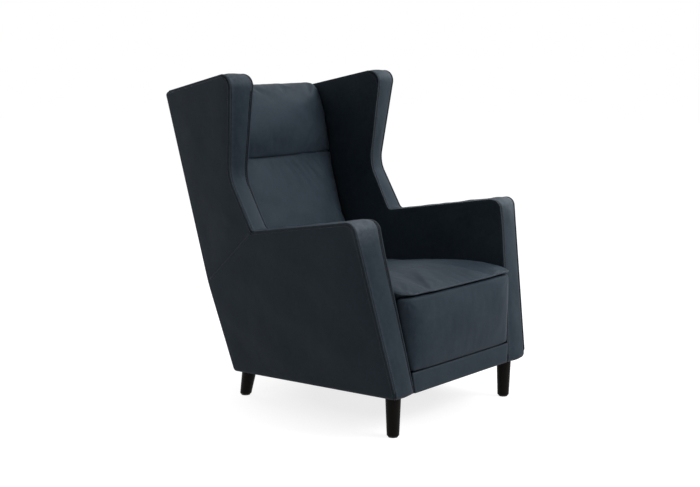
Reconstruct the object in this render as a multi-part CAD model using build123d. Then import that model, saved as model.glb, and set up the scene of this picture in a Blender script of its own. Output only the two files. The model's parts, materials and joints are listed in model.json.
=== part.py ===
from build123d import *
from math import atan2, cos, degrees, hypot, radians, sin
import os

# Wing-back recliner armchair in millimetres.  +Z is up, the front faces -Y and the origin
# lies on the floor under the middle.  The left side is the sitter's left, +X.

# Shell seen from the side
overall_depth = 984        # front bottom corner of the arm to the rear top corner
base_depth = 743           # front bottom corner to the heel
front_clearance = 131      # floor to the underside at the front
rear_clearance = 80.5      # floor to the underside at the heel
arm_front_height = 658
arm_front_rake = 106       # the front edge of the arm leans back by this
arm_length = 453           # front top corner to the foot of the wing
arm_rear_height = 581
elbow_height = 744         # the wing's front edge is furthest back here
elbow_setback = 99         # from the foot of the wing
wing_top_height = 1079
wing_top_length = 369
back_top_height = 1005
toe_radius = 12
arm_nose_radius = 32
junction_radius = 20
elbow_radius = 110
wing_tip_radius = 38
rear_top_radius = 14
heel_radius = 10

# Shell seen from the front: slopes are sideways run for each unit of height or depth
base_front_width = 686
arm_thickness = 97
outer_flare = 0.150
outer_toe = 0.0606
wing_fold = 0.0774         # the wing turns in by this at the slanted seam
seam_slope = 0.78
inner_flare = 0.1366
inner_toe = 0.009
wing_inner_flare = 0.0111
inner_fold_height = 587

# Layers of the sides and of the outer back
cover_thickness = 8
panel_thickness = 15
inner_pad_thickness = 22
band_thickness = 10
side_member = 48           # width of the timber members inside a side
board_thickness = 12
fit_gap = 0.2

# Base, measured in the sloping deck frame: v runs rearward, w runs up from the underside
base_height = 62
rail_height = 54
front_rail_thickness = 28
rear_rail_thickness = 26
front_face = 6             # front face of footrest and base band behind the arm corner
front_cover_thickness = 12
rail_inner_half = 190
corner_block = 64
corner_block_height = 40
dust_thickness = 1.5

# Legs
front_leg_setback = 52
rear_leg_setback = 49
leg_top_diameter = 48
leg_foot_diameter = 38
rear_leg_splay = 13
glide_diameter = 30
glide_height = 4
bolt_diameter = 8
bolt_in_leg = 30
bolt_in_frame = 34

# Slide rails
rail_half_spacing = 214
channel_width = 36
channel_height = 34
channel_wall = 3
channel_slot = 14
runner_stem = 8
runner_foot_width = 20
runner_foot_height = 8
runner_front = 216
runner_length = 340
shoe_length = 50
slide_clearance = 0.3
stop_length = 8
travel = 140

# Seat
seat_frame_half = 234
seat_frame_front = 100
seat_frame_clear = 50      # seat frame ahead of the back pivot
seat_frame_lift = 10       # over the channels
seat_frame_height = 50
seat_member = 40
strap_width = 50
strap_thickness = 2.5
strap_end = 8             # straps stop short of the frame's outer edge
seat_straps = 6
seat_cushion_clear = 38    # seat cushion ahead of the back pivot
seat_front_edge = 285
seat_nose_edge = 310
seat_crown_edge = 317
seat_middle_edge = 313
seat_rear_edge = 298
seat_crown = 9
seat_nose_length = 30
seat_crown_place = 105
seat_side_gap = 3

# Footrest
hinge_setback = 13         # hinge line behind the front face
hinge_height = 265
pad_thickness = 34
footrest_board = 15
footrest_bottom = 67
footrest_angle = 80
pad_bulge = 4
pad_toe_setback = 4
pad_toe_rise = 8
pad_toe_length = 12
arm_root_low = 30
arm_root_high = 110
notch_half = 217           # the notches for the link plates start here
eye_radius = 8
notch_floor = 185
plate = 5
plate_gap = 0.5
pin_diameter = 8
pin_clearance = 0.08

# Back
pivot_from_heel = 54.7
pivot_w = 280
lever_length = 185
lever_root = 172           # height of the lever plate up the side of the back frame
pivot_boss = 15
pivot_plate_length = 110
frame_front = 12           # front face of the back frame behind the pivot
back_frame_thickness = 18
back_frame_bottom = 26
back_member = 45
back_straps = 5
back_side_gap = 5
cushion_bottom = 24
head_length = 234
seam_gap = 2
back_top_drop = 4.6        # head cushion below the shell's rear top corner
lumbar_rise = 70
seam_tuck = 60
head_roll = 36
head_full = 145
head_shoulder = 24
head_tuck = 14
lumbar_edge = 33
waist_edge = 20
seam_edge = 9
head_edge = 24
back_crown = 34
seam_crown = 20
head_crown = 30
guide_half_spacing = 120
guide_depth = 44           # behind the back's pivot line
guide_wall_gap = 10.7      # guide centre to the outer back board
guide_below_top = 28
guide_radius = 6
guide_stud = 10
guide_play = 0.5
guide_wall = 1.6
guide_run_out = 24
guide_slot = 9

# Push links between the back levers and the footrest
link_width = 14
link_riser = 80            # where the link turns up behind the footrest

block = 3 * overall_depth
reach = base_front_width

front_y = -overall_depth / 2
rear_y = overall_depth / 2
arm_top = (front_y + arm_front_rake, arm_front_height)
junction = (arm_top[0] + arm_length, arm_rear_height)
corners = [
    (front_y, front_clearance),
    arm_top,
    junction,
    (junction[0] + elbow_setback, elbow_height),
    (rear_y - wing_top_length, wing_top_height),
    (rear_y, back_top_height),
    (front_y + base_depth, rear_clearance),
]
corner_radii = [toe_radius, arm_nose_radius, junction_radius, elbow_radius,
                wing_tip_radius, rear_top_radius, heel_radius]
hollow_corners = (2, 3)

deck_tilt = atan2(front_clearance - rear_clearance, base_depth)
base_length = hypot(base_depth, front_clearance - rear_clearance)
deck = Plane(origin=(0, front_y, front_clearance), x_dir=(1, 0, 0),
             z_dir=(0, sin(deck_tilt), cos(deck_tilt)))


def deck_yz(v, w):
    y = front_y + v * cos(deck_tilt) + w * sin(deck_tilt)
    z = front_clearance - v * sin(deck_tilt) + w * cos(deck_tilt)
    return y, z


pivot_v = base_length - pivot_from_heel
pivot_yz = deck_yz(pivot_v, pivot_w)
seat_frame_rear = pivot_v - seat_frame_clear
seat_rear = pivot_v - seat_cushion_clear
heel = corners[6]
shell_lean = atan2(rear_y - heel[0], back_top_height - rear_clearance)


# Height along the shell's rear edge and distance inside the outer back board
def shell_place(y, z):
    dy, dz = y - heel[0], z - heel[1]
    along = dy * sin(shell_lean) + dz * cos(shell_lean)
    clear = dz * sin(shell_lean) - dy * cos(shell_lean)
    return along, clear - cover_thickness - board_thickness


# The head cushion ends level with the shell's rear top corner, and the guides sit below its top
def guide_rise(turn):
    return (back_top_height - pivot_yz[1]) / cos(turn) - back_top_drop - guide_below_top


# Place of a back guide, seen from the shell, after the seat has moved forward
def guide_place(forward, turn, rise):
    y = pivot_yz[0] - forward * cos(deck_tilt) + guide_depth * cos(turn) + rise * sin(turn)
    z = pivot_yz[1] + forward * sin(deck_tilt) - guide_depth * sin(turn) + rise * cos(turn)
    return shell_place(y, z)


# The lean at which the guides stand at their named distance from the shell, by halving
def guided_lean(forward, rise=None):
    low, high = 0.0, radians(60)
    for step in range(50):
        turn = (low + high) / 2
        clear = guide_place(forward, turn, guide_rise(turn) if rise is None else rise)[1]
        if clear > guide_wall_gap:
            low = turn
        else:
            high = turn
    return turn


lean = guided_lean(0)
guide_height = guide_rise(lean)
recline_angle = degrees(guided_lean(travel, guide_height) - lean)
back_frame_top = guide_height
cushion_top = guide_height + guide_below_top
head_seam = cushion_top - head_length
back = Plane(origin=(0, *pivot_yz), x_dir=(1, 0, 0), z_dir=(0, sin(lean), cos(lean)))


def back_yz(d, h):
    y = pivot_yz[0] + d * cos(lean) + h * sin(lean)
    z = pivot_yz[1] - d * sin(lean) + h * cos(lean)
    return y, z


# A flank is a sloping side plane: a point, its half width there, its flare and its toe-in
def run(flank, y, z):
    y0, z0, x0, flare, toe = flank
    return x0 + flare * (z - z0) - toe * (y - y0)


half_width = base_front_width / 2
arm_outer = (*corners[0], half_width, outer_flare, outer_toe)
wing_outer = (*junction, run(arm_outer, *junction), outer_flare - wing_fold,
              outer_toe + wing_fold * seam_slope)
arm_inner = (*corners[0], half_width - arm_thickness, inner_flare, inner_toe)
wing_inner = (front_y, inner_fold_height, run(arm_inner, front_y, inner_fold_height),
              wing_inner_flare, inner_toe)


def inner_half(y, z):
    return min(run(arm_inner, y, z), run(wing_inner, y, z))


def inside(flank, inset=0.0):
    y0, z0, x0, flare, toe = flank
    plane = Plane(origin=(x0, y0, z0), z_dir=(1, toe, -flare)).offset(-inset)
    return plane.location * Pos(0, 0, -block / 2) * Box(block, block, block)


def outer_space(inset=0.0):
    return inside(arm_outer, inset) & inside(wing_outer, inset)


def inner_space(inset=0.0):
    return inside(arm_inner, inset) & inside(wing_inner, inset)


def both_sides(space):
    return space & mirror(space, about=Plane.YZ)


# Side outline with its open edges, rear edge and bottom edge moved in
def outline(edge_inset=0.0, rear_inset=0.0, base_inset=0.0):
    lines = []
    for i, inset in enumerate([edge_inset] * 5 + [rear_inset, base_inset]):
        y0, z0 = corners[i]
        y1, z1 = corners[(i + 1) % 7]
        length = hypot(y1 - y0, z1 - z0)
        ny, nz = (z1 - z0) / length, (y0 - y1) / length
        lines.append((ny, nz, ny * y0 + nz * z0 + inset))
    points = []
    for i in range(7):
        a, b, c = lines[i - 1]
        d, e, f = lines[i]
        det = a * e - b * d
        points.append(((c * e - b * f) / det, (a * f - c * d) / det))
    radii = []
    for i, radius in enumerate(corner_radii):
        turn = edge_inset if i in hollow_corners else -edge_inset
        radii.append(max(radius + turn, 2) if edge_inset >= 0 else 2)
    return Plane.YZ * make_face(FilletPolyline(*points, radius=radii, close=True))


def prism(face, both=False):
    return extrude(face, amount=reach, both=both)


def deck_box(x0, x1, v0, v1, w0, w1):
    middle = Pos((x0 + x1) / 2, (v0 + v1) / 2, (w0 + w1) / 2)
    return deck.location * middle * Box(x1 - x0, v1 - v0, w1 - w0)


def back_box(x0, x1, d0, d1, h0, h1):
    middle = Pos((x0 + x1) / 2, (d0 + d1) / 2, (h0 + h1) / 2)
    return back.location * middle * Box(x1 - x0, d1 - d0, h1 - h0)


def cross_pin(x0, x1, yz, radius):
    return Pos((x0 + x1) / 2, *yz) * Rot(0, 90, 0) * Cylinder(radius, x1 - x0)


# Flat plate lying in the side plane, drawn as the hull of round bosses (y, z, radius)
def hull_plate(x0, thickness, bosses):
    edges = []
    for y, z, radius in bosses:
        edges += (Pos(y, z) * Circle(radius)).edges()
    return Pos(x0, 0, 0) * extrude(Plane.YZ * make_hull(edges), amount=thickness)


def pair(part):
    return Compound(children=[part, mirror(part, about=Plane.YZ)])


nodes = {}


def add_sides(name, part):
    nodes[name + "_left"] = part
    nodes[name + "_right"] = mirror(part, about=Plane.YZ)


# Legs stand under the middle of each side
leg_tops = []
for setback, from_front in ((front_leg_setback, True), (rear_leg_setback, False)):
    leg_v = setback if from_front else base_length - setback
    top_y, top_z = deck_yz(leg_v, 0)
    leg_x = (run(arm_outer, top_y, top_z) + run(arm_inner, top_y, top_z)) / 2
    leg_tops.append((leg_x, leg_v, top_y, top_z))


def foot_y(top, splay):
    return top[2] + (top[3] - glide_height) * sin(radians(splay)) / cos(radians(splay))


def leg(top, splay):
    tilt = radians(splay)
    length = (top[3] - glide_height) / cos(tilt)
    past = leg_top_diameter / 2
    widening = (leg_top_diameter - leg_foot_diameter) / 2 * past / length
    axis = Plane(origin=(top[0], foot_y(top, splay), glide_height), x_dir=(1, 0, 0),
                 z_dir=(0, -sin(tilt), cos(tilt)))
    cone = Cone(leg_foot_diameter / 2 - widening, leg_top_diameter / 2 + widening, length + 2 * past)
    under_deck = deck.location * Pos(0, 0, -block / 2) * Box(block, block, block)
    over_glide = Pos(0, 0, glide_height + block / 2) * Box(block, block, block)
    solid = axis.location * Pos(0, 0, length / 2) * cone & under_deck & over_glide
    return solid - bolt_hole(top, 0)


def bolt_hole(top, clearance=0.1):
    middle = (bolt_in_frame - bolt_in_leg) / 2
    place = deck.location * Pos(top[0], top[1], middle)
    return place * Cylinder(bolt_diameter / 2 + clearance, bolt_in_frame + bolt_in_leg)


def make_legs():
    legs = []
    glides = []
    bolts = []
    for top, splay in ((leg_tops[0], 0), (leg_tops[1], rear_leg_splay)):
        middle = Pos(top[0], foot_y(top, splay), glide_height / 2)
        legs += pair(leg(top, splay)).solids()
        bolts += pair(bolt_hole(top, 0)).solids()
        glides += pair(middle * Cylinder(glide_diameter / 2, glide_height)).solids()
    nodes["legs"] = Compound(children=legs)
    nodes["leg_glides"] = Compound(children=glides)
    nodes["leg_bolts"] = Compound(children=bolts)


# The sides are layers of one flared block: cover, panels, timber frame, pad and edge band
def make_sides():
    past = -3 * band_thickness
    holes = bolt_hole(leg_tops[0]) + bolt_hole(leg_tops[1])
    block_outer = outer_space()
    rear = cover_thickness + fit_gap
    full = prism(outline(rear_inset=rear)) & block_outer
    cored = prism(outline(band_thickness, rear)) & outer_space(cover_thickness)
    cored = cored - inner_space(-inner_pad_thickness)
    add_sides("outer_cover", full - outer_space(cover_thickness) - holes)

    rim = full & outer_space(cover_thickness)
    rim = rim - inner_space(-inner_pad_thickness)
    add_sides("edge_band", rim - prism(outline(band_thickness, past, past)))

    panels = cored - outer_space(cover_thickness + panel_thickness)
    seam_angle = degrees(atan2(seam_slope, 1))
    seam = Plane(origin=(0, *junction), x_dir=(1, 0, 0),
                 z_dir=(0, sin(radians(seam_angle)), cos(radians(seam_angle))))
    above_seam = seam.location * Pos(0, 0, block / 2) * Box(block, block, block)
    add_sides("arm_panel", panels - above_seam - holes)
    add_sides("wing_panel", panels & above_seam)

    timber = cored & outer_space(cover_thickness + panel_thickness)
    window = prism(outline(band_thickness + side_member, cover_thickness + side_member,
                           base_height + side_member / 2))
    brace = seam.location * Box(block, block, side_member)
    add_sides("side_frame", timber - (window - brace) - holes)

    pad = prism(outline(rear_inset=rear + board_thickness)) & block_outer
    pad = (pad & inner_space(-inner_pad_thickness)) - inner_space()
    under_base = deck_box(0, reach, front_face + front_cover_thickness, block, -block, base_height + 2)
    behind_rest = deck_box(0, reach, seat_frame_front - seat_member, block, -block,
                           seat_base + seat_frame_height + strap_thickness)
    add_sides("inner_pad", pad - under_base - behind_rest)


def make_outer_back():
    past = -40
    hull = prism(outline(), both=True) & both_sides(outer_space())
    rear_cut = prism(outline(past, cover_thickness, past), both=True)
    depth = cover_thickness + board_thickness + fit_gap
    depth_cut = prism(outline(past, depth, past), both=True)
    between = both_sides(inner_space())
    top_strip = (hull & between) - prism(outline(cover_thickness, past, past), both=True)
    nodes["outer_back_cover"] = (hull - rear_cut) + (top_strip - depth_cut)

    inner_hull = prism(outline(rear_top_radius, cover_thickness + fit_gap), both=True)
    inner_hull = inner_hull & both_sides(inner_space(-inner_pad_thickness))
    board_cut = prism(outline(past, cover_thickness + board_thickness, past), both=True)
    nodes["outer_back_board"] = inner_hull - board_cut


def make_base():
    pads = both_sides(inner_space(0.5))
    frames = both_sides(inner_space(-inner_pad_thickness))
    rail_front = front_face + front_cover_thickness
    rail_back = rail_front + front_rail_thickness
    nodes["base_band"] = deck_box(-reach, reach, front_face, rail_front, 0, base_height) & pads
    nodes["base_front_rail"] = deck_box(-reach, reach, rail_front, rail_back, 0, rail_height) & frames
    ahead_of_board = cover_thickness + board_thickness + fit_gap
    behind = prism(outline(-reach / 4, ahead_of_board, -reach / 4), both=True)
    rear_end = base_length - cover_thickness - board_thickness - 2
    rear_start = rear_end - rear_rail_thickness
    holes = bolt_hole(leg_tops[0]) + bolt_hole(leg_tops[1])
    holes = holes + mirror(holes, about=Plane.YZ)
    side = deck_box(rail_inner_half, reach, rail_back, rear_start, 0, rail_height)
    add_sides("base_side_rail", (side & frames) - holes)
    rear = deck_box(-reach, reach, rear_start, block, 0, rail_height) & frames & behind
    nodes["base_rear_rail"] = rear - holes
    triangles = []
    for v, way in ((rail_back, 1), (rear_start, -1)):
        face = make_face(Polyline((rail_inner_half, v), (rail_inner_half - corner_block, v),
                                  (rail_inner_half, v + way * corner_block), close=True))
        solid = deck.location * extrude(face, amount=corner_block_height, dir=(0, 0, 1))
        triangles += [solid, mirror(solid, about=Plane.YZ)]
    nodes["base_corner_blocks"] = Compound(children=triangles)
    sheet = deck_box(-reach, reach, front_face + front_cover_thickness, rear_start + rear_rail_thickness / 2,
                     -dust_thickness, 0)
    nodes["dust_cover"] = sheet & pads


# Slide rails: a channel on each base rail holds a runner with two nylon shoes
channel_base = rail_height
seat_base = channel_base + channel_height + seat_frame_lift


def make_rails():
    x = rail_half_spacing
    half = channel_width / 2
    run_end = runner_front + runner_length
    front = runner_front - travel - slide_clearance - stop_length
    end = run_end + slide_clearance + stop_length
    top = channel_base + channel_height
    outer = deck_box(x - half, x + half, front, end, channel_base, top)
    hollow = deck_box(x - half + channel_wall, x + half - channel_wall, front, end,
                      channel_base + channel_wall, top - channel_wall)
    slot = deck_box(x - channel_slot / 2, x + channel_slot / 2, front, end,
                    channel_base + channel_wall, top)
    add_sides("fixed_channel", outer - hollow - slot)

    foot_low = channel_base + (channel_height - runner_foot_height) / 2
    foot_high = foot_low + runner_foot_height
    foot = deck_box(x - runner_foot_width / 2, x + runner_foot_width / 2, runner_front, run_end,
                    foot_low, foot_high)
    stem = deck_box(x - runner_stem / 2, x + runner_stem / 2, runner_front, run_end, foot_low, seat_base)
    add_sides("seat_runner", foot + stem)

    shoes = []
    inner = half - channel_wall - slide_clearance
    for v in (runner_front + stop_length, run_end - stop_length - shoe_length):
        shoe = deck_box(x - inner, x + inner, v, v + shoe_length, channel_base + channel_wall + slide_clearance,
                        top - channel_wall - slide_clearance)
        shoe = shoe - foot - stem
        shoes += shoe.solids()
    shoes += [mirror(s, about=Plane.YZ) for s in shoes]
    nodes["glide_shoes"] = Compound(children=shoes)

    stops = []
    for v0 in (front, end - stop_length):
        stop = deck_box(x - half + channel_wall, x + half - channel_wall, v0, v0 + stop_length,
                        channel_base + channel_wall, top - channel_wall)
        stops += [stop, mirror(stop, about=Plane.YZ)]
    nodes["channel_stops"] = Compound(children=stops)


hinge_v = front_face + hinge_setback
hinge_yz = deck_yz(hinge_v, hinge_height)
swing = radians(recline_angle / 2)
lever_vw = (pivot_v + lever_length * sin(swing), pivot_w - lever_length * cos(swing))
link_stroke = 2 * lever_length * sin(swing)
crank_half = radians(footrest_angle / 2)
crank_radius = link_stroke / (2 * sin(crank_half))
crank_vw = (hinge_v + crank_radius * sin(crank_half), hinge_height - crank_radius * cos(crank_half))
pin_radius = pin_diameter / 2
hinge_plate_x = notch_half + 3
arm_plate_x = hinge_plate_x + plate + plate_gap
lever_x = seat_frame_half + plate + plate_gap
link_x = lever_x + plate + plate_gap
nose_radius = hinge_setback
nose_clearance = 0.7


def seat_section(v, edge, crown, floor):
    plane = Plane(origin=deck.origin + deck.y_dir * v, x_dir=(1, 0, 0), z_dir=-deck.y_dir)
    low = inner_half(*deck_yz(v, floor)) - seat_side_gap
    high = inner_half(*deck_yz(v, edge)) - seat_side_gap
    sides = Polyline((-high, edge), (-low, floor), (low, floor), (high, edge))
    top = ThreePointArc((high, edge), (0, edge + crown), (-high, edge))
    return plane * make_face([*sides.edges(), top])


# Seat: a timber ring with straps and a crowned cushion, all carried by the runners
def make_seat():
    top = seat_base + seat_frame_height
    half = seat_frame_half
    ring = deck_box(-half, half, seat_frame_front, seat_frame_rear, seat_base, top)
    inner = half - seat_member
    ring = ring - deck_box(-inner, inner, seat_frame_front + seat_member, seat_frame_rear - seat_member,
                           seat_base - 1, top + 1)
    nodes["seat_frame"] = ring
    straps = []
    clear = seat_frame_rear - seat_frame_front - 2 * seat_member
    pitch = clear / seat_straps
    for i in range(seat_straps):
        middle = seat_frame_front + seat_member + pitch * (i + 0.5)
        straps.append(deck_box(-half + strap_end, half - strap_end, middle - strap_width / 2, middle + strap_width / 2,
                               top, top + strap_thickness))
    nodes["seat_straps"] = Compound(children=straps)

    floor = top + strap_thickness
    stations = []
    for step in (0, 0.12, 0.4, 1):
        edge = seat_front_edge + (seat_nose_edge - seat_front_edge) * (1 - (1 - step) ** 2) ** 0.5
        stations.append((front_face + seat_nose_length * step, edge, seat_crown * (1 + step) / 4))
    stations += [
        (front_face + seat_crown_place, seat_crown_edge, seat_crown),
        (seat_rear / 2, seat_middle_edge, seat_crown),
        (seat_rear, seat_rear_edge, seat_crown / 2),
    ]
    body = loft([seat_section(v, edge, crown, floor) for v, edge, crown in stations], ruled=True)
    lip = hinge_height + nose_radius + nose_clearance
    rest_rear = front_face + pad_thickness + footrest_board + 4
    ahead = deck_box(-reach, reach, -block, rest_rear, 0, hinge_height - nose_radius)
    over = deck_box(-reach, reach, -block, hinge_v, 0, lip)
    nose = cross_pin(-reach, reach, hinge_yz, nose_radius + nose_clearance)
    slope = Plane.YZ * make_face(Polyline(deck_yz(hinge_v, hinge_height),
                                          deck_yz(hinge_v + nose_radius + nose_clearance, hinge_height),
                                          deck_yz(rest_rear, hinge_height - nose_radius),
                                          deck_yz(rest_rear, hinge_height - 2 * nose_radius),
                                          deck_yz(hinge_v, hinge_height - 2 * nose_radius), close=True))
    front_notch = deck_box(notch_half, reach, -block, seat_frame_front + seat_member, 0, lip)
    rear_notch = deck_box(half - plate_gap, reach, seat_frame_rear - pivot_plate_length, block, 0,
                          pivot_w - pivot_boss)
    notches = front_notch + rear_notch
    cuts = ahead + over + nose + prism(slope, both=True) + notches
    nodes["seat_cushion"] = body - cuts - mirror(notches, about=Plane.YZ)

    foot = [(*deck_yz(v, top + 5), 5) for v in (seat_frame_front + 6, seat_frame_front + seat_member - 6)]
    hinge = hull_plate(hinge_plate_x, plate, foot + [(*hinge_yz, eye_radius)])
    hinge = hinge - cross_pin(0, reach, hinge_yz, pin_radius + pin_clearance)
    add_sides("footrest_hinge_plate", hinge)
    nodes["footrest_hinge_pins"] = pair(cross_pin(hinge_plate_x, arm_plate_x + plate, hinge_yz, pin_radius))

    low = [(*deck_yz(seat_frame_rear - v, seat_base + pivot_boss), pivot_boss)
           for v in (pivot_plate_length - pivot_boss, pivot_boss)]
    bracket = hull_plate(half, plate, low + [(*pivot_yz, pivot_boss)])
    bracket = bracket - cross_pin(0, reach, pivot_yz, pin_radius + pin_clearance)
    add_sides("back_pivot_plate", bracket)
    nodes["back_pivot_pins"] = pair(cross_pin(half, lever_x + plate, pivot_yz, pin_radius))


# Footrest: padded board hung from the hinge line under the front edge of the seat
def make_footrest():
    rear = front_face + pad_thickness
    middle = (footrest_bottom + hinge_height) / 2
    p = deck_yz
    front = ThreePointArc(p(front_face, hinge_height), p(front_face - pad_bulge, middle),
                          p(front_face + pad_toe_setback, footrest_bottom + pad_toe_rise))
    rest = Polyline(p(front_face + pad_toe_setback, footrest_bottom + pad_toe_rise),
                    p(front_face + pad_toe_length, footrest_bottom),
                    p(rear, footrest_bottom), p(rear, hinge_height - 2 * nose_radius),
                    p(hinge_v + nose_radius, hinge_height), p(front_face, hinge_height))
    section = make_face([front, *rest.edges()]) + Pos(*hinge_yz) * Circle(nose_radius)
    space = both_sides(inner_space(seat_side_gap + 0.5))
    notch = deck_box(notch_half, reach, hinge_v - eye_radius - plate_gap, block, notch_floor, block)
    notches = notch + mirror(notch, about=Plane.YZ)
    nodes["footrest_pad"] = (prism(Plane.YZ * section, both=True) & space) - notches

    board = deck_box(-reach, reach, rear, rear + footrest_board, footrest_bottom + 4,
                     hinge_height - 3 * nose_radius)
    nodes["footrest_board"] = (board & both_sides(inner_space(seat_side_gap + 5))) - notches

    behind = rear + footrest_board
    bosses = [(*p(behind + plate, footrest_bottom + w), plate) for w in (arm_root_low, arm_root_high)]
    arm = hull_plate(arm_plate_x, plate, bosses + [(*hinge_yz, eye_radius), (*p(*crank_vw), eye_radius)])
    arm = arm - cross_pin(0, reach, hinge_yz, pin_radius + pin_clearance)
    inset = deck_box(0, reach, -block, behind, 0, notch_floor)
    arm = arm - cross_pin(0, reach, p(*crank_vw), pin_radius + pin_clearance) - inset
    add_sides("footrest_arm", arm)
    nodes["footrest_crank_pins"] = pair(cross_pin(arm_plate_x, link_x + plate, p(*crank_vw), pin_radius))


def back_section(h, edge, crown):
    plane = Plane(origin=back.origin + back.z_dir * h, x_dir=(1, 0, 0), z_dir=back.z_dir)
    rear = frame_front - strap_thickness
    side = inner_half(*back_yz(-edge, h)) - back_side_gap
    sides = Polyline((-side, -edge), (-side, rear), (side, rear), (side, -edge))
    front = ThreePointArc((side, -edge), (0, -edge - crown), (-side, -edge))
    return plane * make_face([*sides.edges(), front])


# Back: a leaning frame with a lower cushion and a fuller head cushion above the seam
def make_back():
    half = lever_x
    rear = frame_front + back_frame_thickness
    frame = back_box(-half, half, frame_front, rear, back_frame_bottom, back_frame_top)
    middle = (back_frame_bottom + back_frame_top) / 2
    for low, high in ((back_frame_bottom + back_member, middle - back_member / 2),
                      (middle + back_member / 2, back_frame_top - back_member)):
        frame = frame - back_box(-half + back_member, half - back_member, frame_front - 1, rear + 1, low, high)
    nodes["back_frame"] = frame
    straps = []
    pitch = (back_frame_top - back_frame_bottom - back_member) / back_straps
    for i in range(back_straps):
        h = back_frame_bottom + back_member / 2 + pitch * (i + 0.5)
        straps.append(back_box(-half + strap_end, half - strap_end, frame_front - strap_thickness, frame_front,
                               h - strap_width / 2, h + strap_width / 2))
    nodes["back_straps"] = Compound(children=straps)

    fold = (inner_fold_height - pivot_yz[1]) / cos(lean)
    lower = [
        (cushion_bottom, lumbar_edge - 4, back_crown - 6),
        (cushion_bottom + lumbar_rise, lumbar_edge - 2, back_crown),
        (fold, waist_edge, back_crown),
        (head_seam - seam_tuck, seam_edge + 2, back_crown - 6),
        (head_seam, seam_edge - 1, seam_crown),
    ]
    recess = back_box(lever_x - plate_gap, reach, -pivot_boss - plate_gap, block, 0, lever_root)
    body = loft([back_section(*s) for s in lower], ruled=True)
    nodes["back_cushion"] = body - recess - mirror(recess, about=Plane.YZ)
    upper = [
        (head_seam + seam_gap, seam_edge - 1, seam_crown + 4),
        (head_seam + head_roll, seam_edge + 4, head_crown),
        (head_seam + head_full, head_edge, head_crown),
        (cushion_top - head_shoulder, head_edge - 1, head_crown - 8),
        (cushion_top, head_edge - head_tuck, head_crown / 3),
    ]
    nodes["head_cushion"] = loft([back_section(*s) for s in upper], ruled=True)

    side_boss = back_frame_thickness / 2
    side = [(*back_yz(frame_front + side_boss, h - side_boss - 1), side_boss) for h in (lever_root / 2, lever_root)]
    lever_yz = deck_yz(*lever_vw)
    upper_plate = hull_plate(lever_x, plate, side + [(*pivot_yz, pivot_boss)])
    lever = upper_plate + hull_plate(lever_x, plate, [(*pivot_yz, pivot_boss), (*lever_yz, eye_radius)])
    lever = lever - cross_pin(0, reach, pivot_yz, pin_radius + pin_clearance)
    lever = lever - cross_pin(0, reach, lever_yz, pin_radius + pin_clearance)
    add_sides("back_lever", lever)
    nodes["back_lever_pins"] = pair(cross_pin(lever_x, link_x + plate, lever_yz, pin_radius))

    guide_yz = back_yz(guide_depth, guide_height)
    x0 = guide_half_spacing - plate / 2
    root = [(*back_yz(rear + plate, guide_height - h), plate) for h in (8 * plate, plate)]
    plate_part = hull_plate(x0, plate, root + [(*guide_yz, guide_radius - 1)])
    stud = cross_pin(x0 - guide_stud, x0 + plate + guide_stud, guide_yz, guide_radius)
    nodes["back_guides"] = pair(plate_part + stud)


# Tracks on the outer back keep the head of the back close to the shell as it reclines
def make_tracks():
    steps = [k / 8 for k in range(9)]
    places = [guide_place(travel * s, lean + radians(recline_angle) * s, guide_height) for s in steps]
    top = max(p[0] for p in places) + guide_run_out
    bottom = min(p[0] for p in places) - guide_run_out
    near = max(p[1] for p in places) + guide_radius + guide_play
    far = max(min(p[1] for p in places) - guide_radius - guide_play, guide_wall)
    wall = cover_thickness + board_thickness
    plane = Plane(origin=(0, *heel), x_dir=(1, 0, 0), z_dir=(0, sin(shell_lean), cos(shell_lean)))
    x = guide_half_spacing
    half = plate / 2 + guide_stud + 3

    def track_box(x0, x1, depth0, depth1):
        middle = Pos((x0 + x1) / 2, -wall - (depth0 + depth1) / 2, (top + bottom) / 2)
        return plane.location * middle * Box(x1 - x0, depth1 - depth0, top - bottom)

    shell = track_box(x - half - guide_wall, x + half + guide_wall, 0, near + guide_wall)
    hollow = track_box(x - half, x + half, far, near)
    slot = track_box(x - guide_slot / 2, x + guide_slot / 2, near - 1, near + 2 * guide_wall)
    nodes["guide_tracks"] = pair(shell - hollow - slot)


# Links push the footrest up when the lower ends of the back levers come forward
def make_links():
    p = deck_yz
    r = link_width / 2
    low = lever_vw[1]
    play = crank_radius * (1 - cos(crank_half))
    eye_w = crank_vw[1] - play / 2
    bar = hull_plate(link_x, plate, [(*p(*lever_vw), r + 2), (*p(link_riser, low), r)])
    riser = hull_plate(link_x, plate, [(*p(link_riser, low), r), (*p(link_riser, eye_w), r)])
    eye = [(*p(crank_vw[0], crank_vw[1] - play), r + 3), (*p(crank_vw[0], crank_vw[1]), r + 3)]
    head = hull_plate(link_x, plate, eye + [(*p(link_riser, eye_w), r)])
    slot_r = pin_radius + 1.2
    slot = hull_plate(link_x - plate, 3 * plate, [(*p(crank_vw[0], crank_vw[1] - play), slot_r),
                                                  (*p(crank_vw[0], crank_vw[1]), slot_r)])
    link = bar + riser + head - slot - cross_pin(0, reach, p(*lever_vw), pin_radius + 1.5)
    add_sides("push_link", link)


make_legs()
make_sides()
make_outer_back()
make_base()
make_rails()
make_seat()
make_footrest()
make_back()
make_tracks()
make_links()

os.makedirs("parts", exist_ok=True)
for name, part in nodes.items():
    export_step(part, f"parts/{name}.step")
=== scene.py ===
import json

import bpy
import numpy as np
from mathutils import Matrix


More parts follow.
